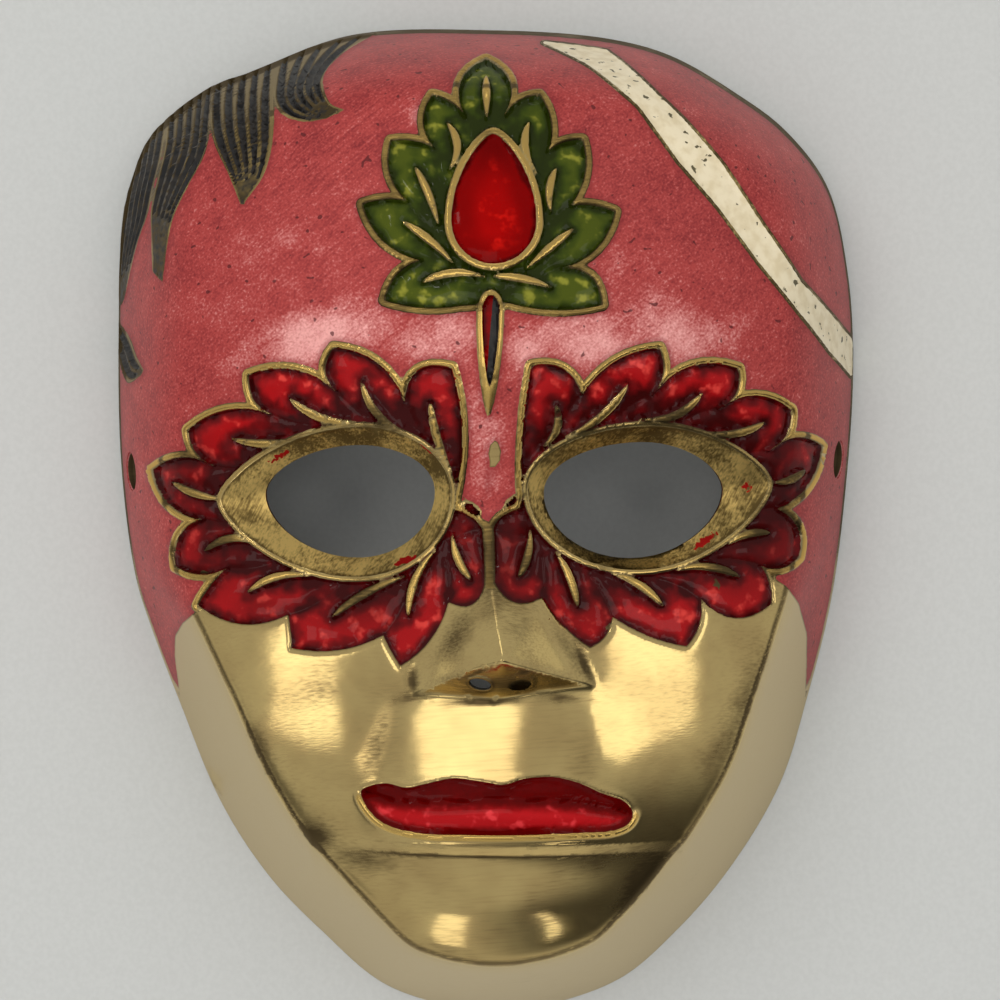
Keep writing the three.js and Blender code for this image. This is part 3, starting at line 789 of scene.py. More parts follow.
LOCKS = (
    HairLock(left=((-39.6, 90), (-38.6, 82), (-37.6, 76.7), (-35.7, 74.3), (-31.8, 73), (-28, 73.4)),
             right=((-20, 93), (-26.5, 86.6), (-28.9, 82.2), (-28.4, 78.3), (-27, 75.7), (-24.8, 74.8)),
             shares=(0.12, 0.3, 0.48, 0.67, 0.86)),
    HairLock(left=((-51.6, 85), (-50.5, 77), (-49.2, 70.7), (-46, 63.6), (-43.9, 58.3)),
             right=((-38.9, 90), (-38.2, 80), (-37.9, 71.1), (-39.5, 63.8), (-43.5, 58.3)),
             shares=(0.1, 0.29, 0.48, 0.67, 0.86)),
    HairLock(left=((-60.5, 79), (-59.3, 70.9), (-60.8, 63.5), (-61.8, 58.4), (-61.6, 53.7), (-61.4, 47.2)),
             right=((-51.2, 85), (-50.4, 76), (-50.6, 69.1), (-54, 62.6), (-57, 57), (-58.3, 51.7),
                    (-59.3, 45)),
             shares=(0.12, 0.32, 0.52, 0.72, 0.9)),
    HairLock(left=((-68.5, 71), (-70.2, 62), (-71, 54), (-71, 47), (-70.6, 41)),
             right=((-60, 79), (-59.8, 70.4), (-61.4, 63.5), (-62.6, 58.4), (-65, 53.3), (-68.6, 43)),
             shares=(0.12, 0.27, 0.42, 0.57, 0.72, 0.88)),
    HairLock(left=((-71, 37), (-69.8, 31), (-67.6, 27), (-64.4, 28.2)),
             right=((-71, 40), (-67.2, 35.5), (-65.3, 31.4), (-63.9, 29)),
             shares=(0.3, 0.7)))
BAND = ((12.3, 89.5), (20.3, 83.7), (29, 75), (36, 64.8), (43.2, 56.4), (50.5, 46.5), (58.1, 37.5),
        (64.6, 30.7), (69.8, 26.6), (70, 33), (67.6, 34.6), (58.2, 42.5), (50.7, 53.1), (43.5, 64),
        (36.4, 72.6), (31.9, 77.3), (23.5, 87.6))
PINK_BORDER = ((-53.7, -15.8), (-57.2, -18.3), (-59.3, -20.9), (-59.9, -25.1), (-59.7, -29.5), (-59.9, -36),
               (-64, -40), (-80, -20), (-80, 100), (80, 100), (80, -20), (64, -40), (60.3, -36),
               (60.1, -27.8), (59.9, -22.7), (57.6, -16.7), (54.9, -13.3), (52.9, -12), (44, -5), (8, 0),
               (1.9, 0), (0.9, -0.9), (-0.2, 0), (-8, 0), (-44, -5))
OPEN_NOSTRIL = Oval((-1.8, -29.2), 4.0, 2.1, -14)
BLIND_NOSTRIL = Oval((5.3, -29.5), 4.2, 2.1, 8)
WORN = (Oval((1.5, 11.9), 2.3, 4.8, 0), Oval((0.5, 7), 0.5, 4.4, -3), Oval((-8.2, 11.2), 1.7, 4.2, 28),
        Oval((41.6, -12.6), 1.6, 2.6, 10), Oval((-52.4, -9), 1.0, 2.2, 60), Oval((22, -19.4), 0.7, 2.6, -60))
# Dark patches: tarnish and dirt, with painted shadow under the nose and its wings, painted dark reflections
# on the cheeks and chin, painted shade on the tops of the eye edges and on parts of the leaves, and the drop
# darker at its top.
TARNISH = (
    Blotch((-41, -44), 17, 3.4, -59, 0.62), Blotch((-33, -57), 5, 3.4, -20, 1.0),
    Blotch((-25, -61), 8, 3, -12, 0.6), Blotch((27, -67), 10, 4.6, 50, 0.95),
    Blotch((20, -62.5), 8, 3, 10, 0.65), Blotch((45, -37), 15, 4, 62, 0.62),
    Blotch((-6, -21), 8, 3, 62, 0.62), Blotch((6, -21), 8, 4, -60, 0.5), Blotch((1, -15), 5, 4, 90, 0.45),
    Blotch((2, -29.2), 14, 2.6, 0, 0.8), Blotch((0, -32.6), 10, 0.9, 0, 1.0),
    Blotch((-2, -26.8), 5, 0.6, 22, 0.9), Blotch((5.5, -26.7), 4, 0.6, -14, 0.9),
    Blotch((-14, -28.5), 3.4, 1.3, 90, 1.0), Blotch((17, -26.2), 4.6, 1.2, -68, 1.0),
    Blotch((-26, 15.4), 13, 2.4, 4, 0.9), Blotch((-11, 11), 4, 2.6, -50, 0.8),
    Blotch((29, 15), 15, 2.2, -2, 0.8), Blotch((12, 10), 4, 2.6, 50, 0.7),
    Blotch((-9, -2), 3.4, 2.6, 40, 0.6), Blotch((2.3, 67), 5, 4, 90, 0.75),
    Blotch((52, -3), 10, 7, 70, 1.0), Blotch((55, 10), 7, 6, 90, 0.85), Blotch((44, -10), 6, 4, -30, 0.9),
    Blotch((38, 17), 11, 4, -20, 0.85), Blotch((3, -6), 8, 10, 0, 0.95),
    Blotch((-22, -14), 9, 5, 15, 0.8), Blotch((-50, -5), 7, 6, 80, 0.85),
    Blotch((-19, 19), 5, 4, 0, 0.75), Blotch((-55, 10), 6, 6, 0, 0.7), Blotch((18, -14), 6, 5, 60, 0.75),
    Blotch((-42, -15), 5, 3, 0, 0.6), Blotch((13, 18), 5, 4, 90, 0.6),
    Blotch((-14, -31.6), 6, 1.4, 8, 0.8), Blotch((13, -32.2), 6.5, 1.4, -6, 0.85),
    Blotch((-20, -39), 9, 2.2, 75, 0.5), Blotch((15, -25), 7, 1.6, -58, 0.6),
    Blotch((-9, -75), 6, 7, 0, 0.25), Blotch((7, -73), 4, 9, 90, 0.35), Blotch((17, -44), 9, 4, 80, 0.3),
    Blotch((-30, -30), 9, 4, 80, 0.3))
# Painted light: the pink's broad highlight across the lower forehead, lighter patches on the leaves and the
# crown, the drop lighter at its lower end and a bright strip on the lower lip.
SHEEN = (
    Blotch((-28, 34), 16, 6, 14, 0.95), Blotch((-8, 33), 9, 6, 0, 0.8), Blotch((8, 29), 5, 8, 0, 0.8),
    Blotch((20, 32), 13, 6, -8, 0.95), Blotch((-40, 46), 16, 8, 35, 0.36),
    Blotch((0, 14), 5, 10, 0, 0.65), Blotch((1.4, 50), 4, 2.6, 0, 1.0), Blotch((-10, 74), 3, 2, 40, 0.8),
    Blotch((-7, 42.5), 5, 2, 10, 0.7), Blotch((16, 47), 5, 2, 20, 0.6),
    Blotch((12, -52.6), 16, 2, -3, 0.5), Blotch((-42, 22), 20, 12, 40, 0.3),
    Blotch((32, 34), 16, 9, -20, 0.7), Blotch((-12, 50), 14, 12, 0, 0.3))
SPILLS = (
    Blotch((47.8, 5.2), 2, 1, 78, 1.0), Blotch((40, -4.4), 3.4, 0.9, 32, 0.9),
    Blotch((-10.5, 13.2), 3.2, 0.8, -38, 0.9), Blotch((-15, -7), 3.4, 0.9, 12, 0.9),
    Blotch((-38, 12), 4, 0.8, 28, 0.8))
LIPS = Lips()
RIBBON_HOLES = (RibbonHole(-1), RibbonHole(1))


@dataclass(frozen=True)
class ReliefSizes:
    """Heights of the ornament over the smooth face and widths of its forms, in millimetres."""

    ridge: float = 0.5
    ridge_half: float = 0.65
    cheek_cut: float = 0.3  # by which the polished cheek starts lower beside the leaves
    cheek_fade: float = 0.35
    crown_foot: float = 34  # leaves over this height on the plan all have their ridge
    field: float = -0.9  # leaf fields beside the brass
    field_swell: float = 0.62
    field_reach: float = 1.1
    lumps: float = 0.12
    vein: float = 0.08
    vein_crest: float = 0.25
    vein_half: float = 0.6
    vein_past: float = 0.4  # how far a vein may run past its leaf's border
    eye_line: float = 0.06
    eye_crest: float = 0.16
    bridge: float = 0.28  # brass between the wreaths
    bridge_half: float = 2.4
    bridge_side: float = 0.4
    bridge_foot: tuple = (-13.2, -11.6)
    bridge_top: float = 0.8
    drop_line: float = 0.1
    line_crest: float = 0.25
    drop: float = -0.7
    drop_swell: float = 0.5
    drop_reach: float = 2.2
    pendant: float = 0.08
    pendant_crest: float = 0.3
    pendant_side: float = 0.5
    pendant_fill: float = -0.55
    hair: float = 0.12
    hair_border: float = 0.3
    groove: float = -0.65
    groove_half: float = 0.5
    band_line: float = 0.12
    band_line_half: float = 0.5
    band: float = -0.12
    band_inner: float = 0.3
    nostril_lip: tuple = (0.28, 0.2, 0.3)  # height, distance from the nostril, half the width
    lip_grows: tuple = (-31.4, -30.4)
    blind_nostril: float = -2.2


SIZES = ReliefSizes()


class Ornament:
    """Everything drawn on the face, measured at one set of plan points."""

    band_grown = 0.5  # how far the band's border stands outside its table
    broad_boxes = (((2, -23), (18, 12)), ((-2.5, -59.5), (32, 3)))  # centre and half size: nose, chin step
    dark_foot = (0.5, 9)  # leaves are darkest at their foot, and full in colour this far from it
    jaw_slope = 2.5  # millimetres by which side wall and front part, a millimetre from their edge

    def __init__(self, face: FaceForm, plan: Plan) -> None:
        """Measures every contour.

        Args:
            face: form of the face.
            plan: points of the plan, in millimetres.
        """
        self.face = face
        self.plan = plan
        self.wreaths = joined(measured(ring.outline(), plan) for ring in (LEFT_WREATH, RIGHT_WREATH))
        self.crown = measured(CROWN.outline(), plan)
        self.leaf = joined((self.wreaths, self.crown))
        rings = (LEFT_WREATH, RIGHT_WREATH, CROWN)
        self.vein = joined(measured(loop, plan, NEAR) for ring in rings for loop in ring.vein_loops())
        self.fold = joined(measured(loop, plan, NEAR) for ring in rings for loop in ring.fold_loops())
        self.eyelet = joined(measured(oval.loop(), plan, NEAR) for oval in EYELETS)
        self.edge = joined(measured(eye.edge_loop(), plan) for eye in EYES)
        self.hole = joined(measured(eye.hole_loop(), plan) for eye in EYES)
        self.drop = measured(DROP.loop(), plan)
        self.pendant = measured(PENDANT.loop(), plan)
        self.fill = measured(PENDANT_FILL.loop(), plan)
        self.crease = joined(measured(loop, plan, NEAR) for loop in face.nose_creases())
        self.worn = joined(measured(oval.loop(), plan, NEAR) for oval in WORN)
        across = np.linspace(face.chin_step[0] + 0.5, face.chin_step[2] - 0.5, 30)
        top, low, _ = face.chin_lines(across)
        step = np.vstack([np.column_stack([across, top]), np.column_stack([across, low])[::-1]])
        self.step = measured(step, plan, NEAR)
        self.lock = joined(measured(lock.outline(), plan) for lock in LOCKS)
        self.groove = joined(measured(loop, plan, NEAR) for lock in LOCKS for loop in lock.grooves())
        self.band = measured(np.array(BAND, float), plan)
        self.lips = measured(LIPS.loop(), plan)
        self.pink = measured(np.array(PINK_BORDER, float), plan)
        self.blind = measured(BLIND_NOSTRIL.loop(), plan, NEAR)
        self.open = measured(OPEN_NOSTRIL.loop(), plan, NEAR)
        self.inset = face.inset(plan)

    def crests(self) -> list[tuple[np.ndarray, Plan]]:
        """Lines that the mesh follows: each point's gap to them, and their nearest points."""
        ridge, line, rim = SIZES.ridge_half, EYES[0].line, LIPS.rim
        lines = ((self.leaf, 0), (self.leaf, ridge), (self.leaf, 2 * ridge), (self.vein, 0), (self.fold, 0),
                 (self.edge, 0), (self.edge, line), (self.drop, 0), (self.drop, DROP.line), (self.pendant, 0),
                 (self.fill, 0), (self.eyelet, 0), (self.groove, 0), (self.lock, 0),
                 (self.band, self.band_grown), (self.lips, 0), (self.lips, rim), (self.lips, 2 * rim),
                 (self.blind, 0), (self.crease, 0), (self.step, 0))
        return [zone.crest(self.plan, offset) for zone, offset in lines]

    def broad_gap(self) -> np.ndarray:
        """Gap to the forms that need only moderately fine faces: nose, chin step, parting, pink border."""
        boxes = [np.maximum(np.max(np.abs(self.plan - centre) - half, axis=1), 0)
                 for centre, half in self.broad_boxes]
        return np.minimum.reduce([*boxes, np.abs(self.pink.distance), np.maximum(self.lips.distance, 0)])

    def lines(self) -> np.ndarray:
        """Signed distance to the brass lines that stand in the enamel fields."""
        return np.minimum.reduce([self.vein.distance, self.edge.distance - EYES[0].line,
                                  self.drop.distance - DROP.line, self.pendant.distance])

    def over_parting(self) -> np.ndarray:
        """Height of each point over the line between the lips, on the plan."""
        return self.plan[:, 1] - LIPS.parting_height(self.plan[:, 0])

    def room(self) -> np.ndarray:
        """Distance to the nearest brass or fold around each point of the enamel fields. The enamels are
        darker where it is small: partly deeper colour, partly painted shade beside the brass and in the
        folds.
        """
        leaves = np.minimum.reduce([-self.leaf.distance, self.lines(), self.fold.distance])
        foot = np.minimum(self.edge.distance, self.drop.distance - DROP.line)
        leaves = leaves * ease(*self.dark_foot, foot)
        over = self.over_parting()
        # on the lips it is nothing at the parting, for painted shade there, grows down the lower lip and
        # stays small on the upper lip
        lips = np.minimum(-self.lips.distance, np.where(over < 0, -0.7 * over, 0.3))
        drops = np.maximum(-self.drop.distance, -self.fill.distance)
        return np.maximum.reduce([leaves, drops, lips, np.zeros(len(over))])

    def relief(self) -> np.ndarray:
        """How far each point stands out of the smooth face.

        Returns:
            Heights along the face's normal, in millimetres.
        """
        relief = np.zeros(len(self.plan))
        for add in (self._leaves, self._eye_edges, self._drops, self._hair_and_band, self._mouth):
            relief = add(relief)
        return relief

    def _leaves(self, relief: np.ndarray) -> np.ndarray:
        """Adds the leaves: ridges against the pink ground, sunk fields deepest beside the brass, veins."""
        x, y = self.plan.T
        leaf, vein = self.leaf.distance, self.vein.distance
        pinkish = ease(0.6, -0.6, self.pink.distance)
        ridge = SIZES.ridge * bead(leaf - SIZES.ridge_half, SIZES.ridge_half)
        ridge = ridge * np.maximum(pinkish, (y > SIZES.crown_foot))
        cheek = SIZES.cheek_cut * np.exp(-np.maximum(leaf, 0) / SIZES.cheek_fade) * (1 - pinkish)
        relief = relief + np.where(leaf > -SNAP, ridge - cheek, 0)

        space = np.maximum(np.minimum.reduce([-leaf, self.lines(), self.fold.distance]), 0)
        lumps = SIZES.lumps * np.sin(0.9 * x + 0.5 * y + 2 * np.sin(0.35 * y)) * np.sin(0.8 * y - 0.4 * x)
        swell = SIZES.field_swell * (1 - np.exp(-space / SIZES.field_reach))
        field = SIZES.field + swell + lumps * np.minimum(space, 1)
        relief = np.where((leaf < -SNAP) | (self.eyelet.distance < -SNAP), field, relief)
        crest = SIZES.vein + SIZES.vein_crest * bead(vein + SIZES.vein_half, SIZES.vein_half)
        return np.where((vein < SNAP) & (leaf < SIZES.vein_past), crest, relief)

    def _eye_edges(self, relief: np.ndarray) -> np.ndarray:
        """Adds each eye's brass line and filed slope, and the bridge between the wreaths."""
        x, y = self.plan.T
        leaf, edge = self.leaf.distance, self.edge.distance
        line = EYES[0].line
        crest = SIZES.eye_line + SIZES.eye_crest * bead(edge - line / 2, line / 2)
        relief = np.where((edge > -SNAP) & (edge < line + SNAP), crest, relief)
        between = (leaf > 0) & (np.abs(x) < SIZES.bridge_half) & (y < SIZES.bridge_top)
        bridge = SIZES.bridge * ease(*SIZES.bridge_foot, y) * np.clip(leaf / SIZES.bridge_side, 0, 1)
        relief = np.where(between, bridge, relief)
        slope = np.clip(-edge / np.maximum(-edge + np.maximum(self.hole.distance, 0), 1e-6), 0, 1)
        return np.where(edge < -SNAP, -EYES[0].depth * slope, relief)

    def _drops(self, relief: np.ndarray) -> np.ndarray:
        """Adds the crown's drop in its brass line, and the pendant."""
        drop, pendant = self.drop.distance, self.pendant.distance
        line = DROP.line
        crest = SIZES.drop_line + SIZES.line_crest * bead(drop - line / 2, line / 2)
        relief = np.where((drop > -SNAP) & (drop < line + SNAP), crest, relief)
        field = SIZES.drop + SIZES.drop_swell * (1 - np.exp(drop / SIZES.drop_reach))
        relief = np.where(drop < -SNAP, field, relief)
        edge = SIZES.pendant + SIZES.pendant_crest * np.clip(-pendant / SIZES.pendant_side, 0, 1)
        relief = np.where(pendant < SNAP, edge, relief)
        return np.where(self.fill.distance < -SNAP, SIZES.pendant_fill, relief)

    def _hair_and_band(self, relief: np.ndarray) -> np.ndarray:
        """Adds the locks with their grooves, and the band with a line along its border."""
        groove = self.groove.distance
        relief = np.where(self.lock.distance < SIZES.hair_border, SIZES.hair, relief)
        depth = SIZES.groove * np.sqrt(np.clip(-groove / SIZES.groove_half, 0, 1))
        relief = np.where(groove < -SNAP, depth, relief)
        band = self.band.distance - self.band_grown
        half = SIZES.band_line_half
        relief = np.where(np.abs(band) < half, SIZES.band_line * bead(band, half), relief)
        return np.where(band < -SIZES.band_inner, SIZES.band, relief)

    def _mouth(self, relief: np.ndarray) -> np.ndarray:
        """Adds the lips and their rim."""
        lips, over = self.lips.distance, self.over_parting()
        sunk = ease(SNAP, -LIPS.side_wall, lips)
        return (relief + LIPS.rim_relief(over, lips)) * (1 - sunk) + LIPS.enamel_relief(over, lips) * sunk

    def nose_relief(self) -> np.ndarray:
        """How far each point stands over the nose wedge: a thin lip round the nostrils, one of them blind."""
        near = np.minimum(self.blind.distance, self.open.distance)
        height, offset, half = SIZES.nostril_lip
        lip = height * smear(np.maximum(near, 0) - offset, half) * ease(*SIZES.lip_grows, self.plan[:, 1])
        pit = SIZES.blind_nostril * np.clip(-self.blind.distance / 0.6, 0.25, 1)
        return np.where(self.blind.distance < -SNAP, pit, lip)

    def jaw(self) -> np.ndarray:
        """Signed distance to the edge between side wall and front, negative on the wall."""
        side = self.inset.distance * self.face.wall_slope[0]
        return (side - self.face.front_height(self.plan)) / self.jaw_slope

    def _zones(self) -> dict[Enum, np.ndarray]:
        """Signed distances to the enamels, the filed edges, the locks and the jaw's edge."""
        x, y = self.plan.T
        lines = self.lines()
        bare_rim = 0.5 + 0.9 * ease(55, 75, y) - self.inset.distance
        band = self.band.distance - self.band_grown
        pendant_side = 1.3 - x - 0.1 * (36 - y)
        lock_margin, band_margin, eyelet_margin = 0.1, 0.55, 0.6
        return {
            Enamel.PINK: np.maximum.reduce([
                self.pink.distance, 2 * SIZES.ridge_half - self.leaf.distance,
                lock_margin - self.lock.distance, band_margin - band, -self.pendant.distance,
                eyelet_margin - self.eyelet.distance, bare_rim, -self.worn.distance]),
            Enamel.RED: np.minimum(self.eyelet.distance, np.maximum.reduce([
                self.wreaths.distance, -lines, -self.worn.distance])),
            Enamel.GREEN: np.maximum(self.crown.distance, -lines),
            Enamel.DROP: np.minimum(self.drop.distance, self.fill.distance),
            Enamel.BLACK: np.minimum(np.maximum(self.groove.distance, bare_rim),
                                     np.maximum(self.fill.distance, pendant_side)),
            Enamel.CREAM: band + 0.1,
            Enamel.LIPS: self.lips.distance,
            Trace.BEVEL: self.edge.distance,
            Trace.LOCK: self.lock.distance,
            Trace.JAW: self.jaw(),
        }

    def _tarnish(self) -> np.ndarray:
        """Darkening up to about 1, on the brass and in the enamels: tarnish and dirt, with painted shade and
        painted dark reflections.
        """
        y = self.plan[:, 1]
        top, low, fade = self.face.chin_lines(self.plan[:, 0])
        # dark lines along the chin step's creases: dirt and painted shade
        crease = 0.95 * fade * np.maximum(smear(y - low, 0.45), 0.5 * smear(y - top, 0.3))
        # darker along the rim of the lower face
        rim = 0.85 * ease(3.0, 1.4, self.inset.distance) * ease(-25, 0, y)
        # a dark line just outside the band's border
        beside_band = 0.9 * smear(self.band.distance - self.band_grown - 0.3, 0.35)
        spots = Blotch.strongest(TARNISH, self.plan) * ease(-0.2, 0.3, self.jaw())
        crown = 0.5 * ease(1.6, 1.2, self.crown.distance) * ease(-1, 0, self.crown.distance)
        return np.maximum.reduce([spots, crease, rim, beside_band, crown])

    def attributes(self) -> dict[str, np.ndarray]:
        """Values that the finishes read at each point."""
        values = {zone.value: np.clip(distance, -LIMIT, LIMIT) for zone, distance in self._zones().items()}
        values[Trace.ROOM.value] = np.clip(self.room(), 0, LIMIT)
        values[Trace.TARNISH.value] = self._tarnish()
        values[Trace.SHEEN.value] = Blotch.strongest(SHEEN, self.plan)
        values[Trace.SPILL.value] = Blotch.strongest(SPILLS, self.plan)
        return values


# The casting


@dataclass
class Casting:
    """The whole mask as one closed mesh, finest along the contours of its ornament."""

    face: FaceForm
    wall: float = 2.8
    cell: float = 1.5  # widest faces, in millimetres on the plan
    hole_reach: float = 2.2  # edges this near to an opening's border are halved, in millimetres
    small_hole_reaches: tuple = (1.0, 0.6)
    fine_reach: float = 1.5
    finest_reach: float = 0.5
    broad_reach: float = 0.4
    pull: float = 0.56  # share of its shortest edge by which a vertex may be pulled onto a contour
    merge: float = 0.4  # share of its edge under which two pulled vertices would merge
    foot_reach: float = 10  # how far from the rim the inside is drawn towards the wall's foot
    beside_rim: float = 0.6  # how far from the rim the slope of the side wall is read
    hole_blend: float = 3  # width over which the inside turns into a ribbon hole's wall
    sharp_angle: float = 55  # edges are drawn sharp from this angle, in degrees
    name: str = "mask_casting"

    def build(self) -> bpy.types.Object:
        """Makes the mesh and its object.

        Returns:
            The object, at the origin, in metres.
        """
        bm = bmesh.new()
        self._lay_sheet(bm)
        self._open_holes(bm)
        self._give_thickness(bm)
        self._refine_front(bm)
        plan, front = self._read(bm)
        obj = self._finish(bm, plan, front)
        bm.free()
        return obj

    @staticmethod
    def _read(bm: bmesh.types.BMesh) -> tuple[Plan, np.ndarray]:
        """Reads plan points, and which of them belong to the front."""
        co = np.array([v.co[:] for v in bm.verts])
        return co[:, :2], co[:, 2] > HALFWAY

    @staticmethod
    def _write(verts: Iterable[bmesh.types.BMVert], plan: Plan) -> None:
        """Moves vertices to plan points and keeps their level."""
        for vert, (x, y) in zip(verts, plan):
            vert.co = (x, y, vert.co.z)

    def _lay_sheet(self, bm: bmesh.types.BMesh) -> None:
        """Fills the mesh with a grid that is stretched to the rim line."""
        rim = self.face.rim()
        half = rim.max(0)
        across, up = (round(2 * side / self.cell) for side in half)
        bmesh.ops.create_grid(bm, x_segments=across, y_segments=up, size=1)
        u, v = self._read(bm)[0].T
        disc = np.column_stack([u * np.sqrt(1 - v**2 / 2), v * np.sqrt(1 - u**2 / 2)])
        angle = np.arctan2(disc[:, 1], disc[:, 0])
        around = rim / half
        rim_angle = np.arctan2(around[:, 1], around[:, 0])
        order = np.argsort(rim_angle)
        reach = np.interp(angle, rim_angle[order], np.linalg.norm(around[order], axis=1), period=2 * np.pi)
        self._write(bm.verts, disc * reach[:, None] * half)

    def _small_holes(self, plan: Plan) -> Zone:
        """Region of the open nostril and the ribbon holes, which need the finest faces."""
        loops = [OPEN_NOSTRIL.loop()] + [hole.loop(self.face) for hole in RIBBON_HOLES]
        return joined(measured(loop, plan) for loop in loops)

    def _holes(self, plan: Plan) -> Zone:
        """Region of all the openings that go right through."""
        eyes = [measured(eye.hole_loop(), plan) for eye in EYES]
        return joined([*eyes, self._small_holes(plan)])

    @staticmethod
    def _middles(edges: list[bmesh.types.BMEdge]) -> Plan:
        """Middle of each edge, on the plan."""
        return np.array([(e.verts[0].co + e.verts[1].co)[:2] for e in edges]) / 2

    @staticmethod
    def _on_walls(bm: bmesh.types.BMesh) -> set[bmesh.types.BMVert]:
        """Vertices of the faces that join front and back."""
        walls = [f for f in bm.faces if len({round(v.co.z) for v in f.verts}) > 1]
        return {v for f in walls for v in f.verts}

    @staticmethod
    def _split(bm: bmesh.types.BMesh, edges: list[bmesh.types.BMEdge], near: np.ndarray) -> None:
        """Halves the edges that are near, and fills their faces with smaller ones."""
        chosen = [e for e, n in zip(edges, near) if n]
        bmesh.ops.subdivide_edges(bm, edges=chosen, cuts=1, use_grid_fill=True)

    def _open_holes(self, bm: bmesh.types.BMesh) -> None:
        """Cuts the openings out of the sheet, with their borders on the true outlines."""
        passes = [(self.hole_reach, self._holes)]
        passes += [(reach, self._small_holes) for reach in self.small_hole_reaches]
        for reach, measure in passes:
            edges = [e for e in bm.edges if not e.is_boundary]
            self._split(bm, edges, np.abs(measure(self._middles(edges)).distance) < reach)
        zone = self._holes(self._read(bm)[0])
        bm.verts.index_update()
        held = set()
        for edge in bm.edges:
            ends = [zone.distance[v.index] for v in edge.verts]
            if ends[0] * ends[1] < 0 and not held.intersection(edge.verts):
                vert = min(edge.verts, key=lambda v: abs(zone.distance[v.index]))
                held.add(vert)
        self._write(held, zone.foot[[v.index for v in held]])
        for face in bm.faces[:]:
            pair = [v for v in face.verts if v in held]
            rest = [zone.distance[v.index] for v in face.verts if v not in held]
            if len(pair) == 2 and rest and min(rest) < 0 < max(rest):
                bmesh.ops.connect_verts(bm, verts=pair)
        middle = np.array([f.calc_center_median()[:2] for f in bm.faces])
        inside = self._holes(middle).distance < 0
        bmesh.ops.delete(bm, geom=[f for f, i in zip(bm.faces, inside) if i], context="FACES")

    def _give_thickness(self, bm: bmesh.types.BMesh) -> None:
        """Doubles the sheet into a front at level 0 and a back at level -1."""
        bmesh.ops.recalc_face_normals(bm, faces=bm.faces[:])
        bmesh.ops.solidify(bm, geom=bm.faces[:], thickness=1)
        levels = [v.co.z for v in bm.verts]
        top = max(levels)
        for vert in bm.verts:
            vert.co.z = 0 if abs(vert.co.z - top) < 0.5 else -1

    def _refine_front(self, bm: bmesh.types.BMesh) -> None:
        """Halves the front's faces along the ornament, twice, and pulls them onto its contours."""
        for reach, broad in ((self.fine_reach, self.broad_reach), (self.finest_reach, -1)):
            held = self._on_walls(bm)
            edges = [e for e in bm.edges
                     if all(v.co.z > HALFWAY for v in e.verts) and not all(v in held for v in e.verts)]
            ornament = Ornament(self.face, self._middles(edges))
            gap = np.minimum.reduce([g for g, _ in ornament.crests()])
            self._split(bm, edges, (gap < reach) | (ornament.broad_gap() < broad))
        self._snap_front(bm)

    def _snap_front(self, bm: bmesh.types.BMesh) -> None:
        """Pulls the front's vertices onto the nearest contour where one is close."""
        held = self._on_walls(bm)
        verts = [v for v in bm.verts if v.co.z > HALFWAY and v not in held]
        plan = np.array([v.co[:2] for v in verts])
        best = np.full(len(plan), np.inf)
        target = plan.copy()
        for gap, foot in Ornament(self.face, plan).crests():
            closer = gap < best
            best[closer] = gap[closer]
            target[closer] = foot[closer]
        size = np.array([min(e.calc_length() for e in v.link_edges) for v in verts])
        pull = best < self.pull * size
        order = {v: i for i, v in enumerate(verts)}
        pairs = np.array([[order[v] for v in e.verts] for e in bm.edges if all(v in order for v in e.verts)])
        pairs = pairs[pull[pairs].all(1)]
        gaps = np.linalg.norm(target[pairs[:, 0]] - target[pairs[:, 1]], axis=1)
        merging = gaps < self.merge * size[pairs].max(1)
        farther = np.where(best[pairs[:, 0]] > best[pairs[:, 1]], pairs[:, 0], pairs[:, 1])
        pull[farther[merging]] = False
        self._write([v for v, p in zip(verts, pull) if p], target[pull])

    def _inner(self, plan: Plan) -> np.ndarray:
        """Places the back's points, a wall's thickness under the face, with its foot on the rim plane."""
        inset = self.face.inset(plan)
        inward = plan - inset.foot
        length = np.maximum(np.linalg.norm(inward, axis=1), 1e-6)[:, None]
        at_rim = self.face.normal(inset.foot + self.beside_rim * inward / length)
        slip = self.wall * at_rim[:, 2] ** 2 / np.maximum(np.linalg.norm(at_rim[:, :2], axis=1), 1e-3)
        slip = slip * (1 - ease(0, self.foot_reach, inset.distance))
        moved = plan + inward / length * slip[:, None]
        points = np.column_stack([moved, self.face.height(moved)]) - self.wall * self.face.normal(moved)
        on_rim = inset.distance < ON_RIM
        points[on_rim, 2] = 0
        points[:, 2] = np.maximum(points[:, 2], 0)
        for hole in RIBBON_HOLES:
            near = measured(hole.loop(self.face), plan)
            weight = ease(self.hole_blend, 0, near.distance)[:, None]
            outer = self.face.placed(plan, np.zeros(len(plan)))
            points = points * (1 - weight) + (outer - [hole.side * hole.depth, 0, 0]) * weight
        points[on_rim, 2] = 0
        return points

    def _finish(self, bm: bmesh.types.BMesh, plan: Plan, front: np.ndarray) -> bpy.types.Object:
        """Turns the flat plan mesh into the mask.

        Args:
            bm: the plan mesh.
            plan: its plan points.
            front: which of them belong to the front.

        Returns:
            The finished object.
        """
        ornament = Ornament(self.face, plan[front])
        relief = ornament.relief()
        nose_relief = ornament.nose_relief()
        low = ornament.inset.distance < ON_RIM
        relief[low] = 0
        points = np.empty((len(plan), 3))
        points[front] = self.face.placed(plan[front], relief, nose_relief)
        points[np.flatnonzero(front)[low], 2] = 0
        points[~front] = self._inner(plan[~front])

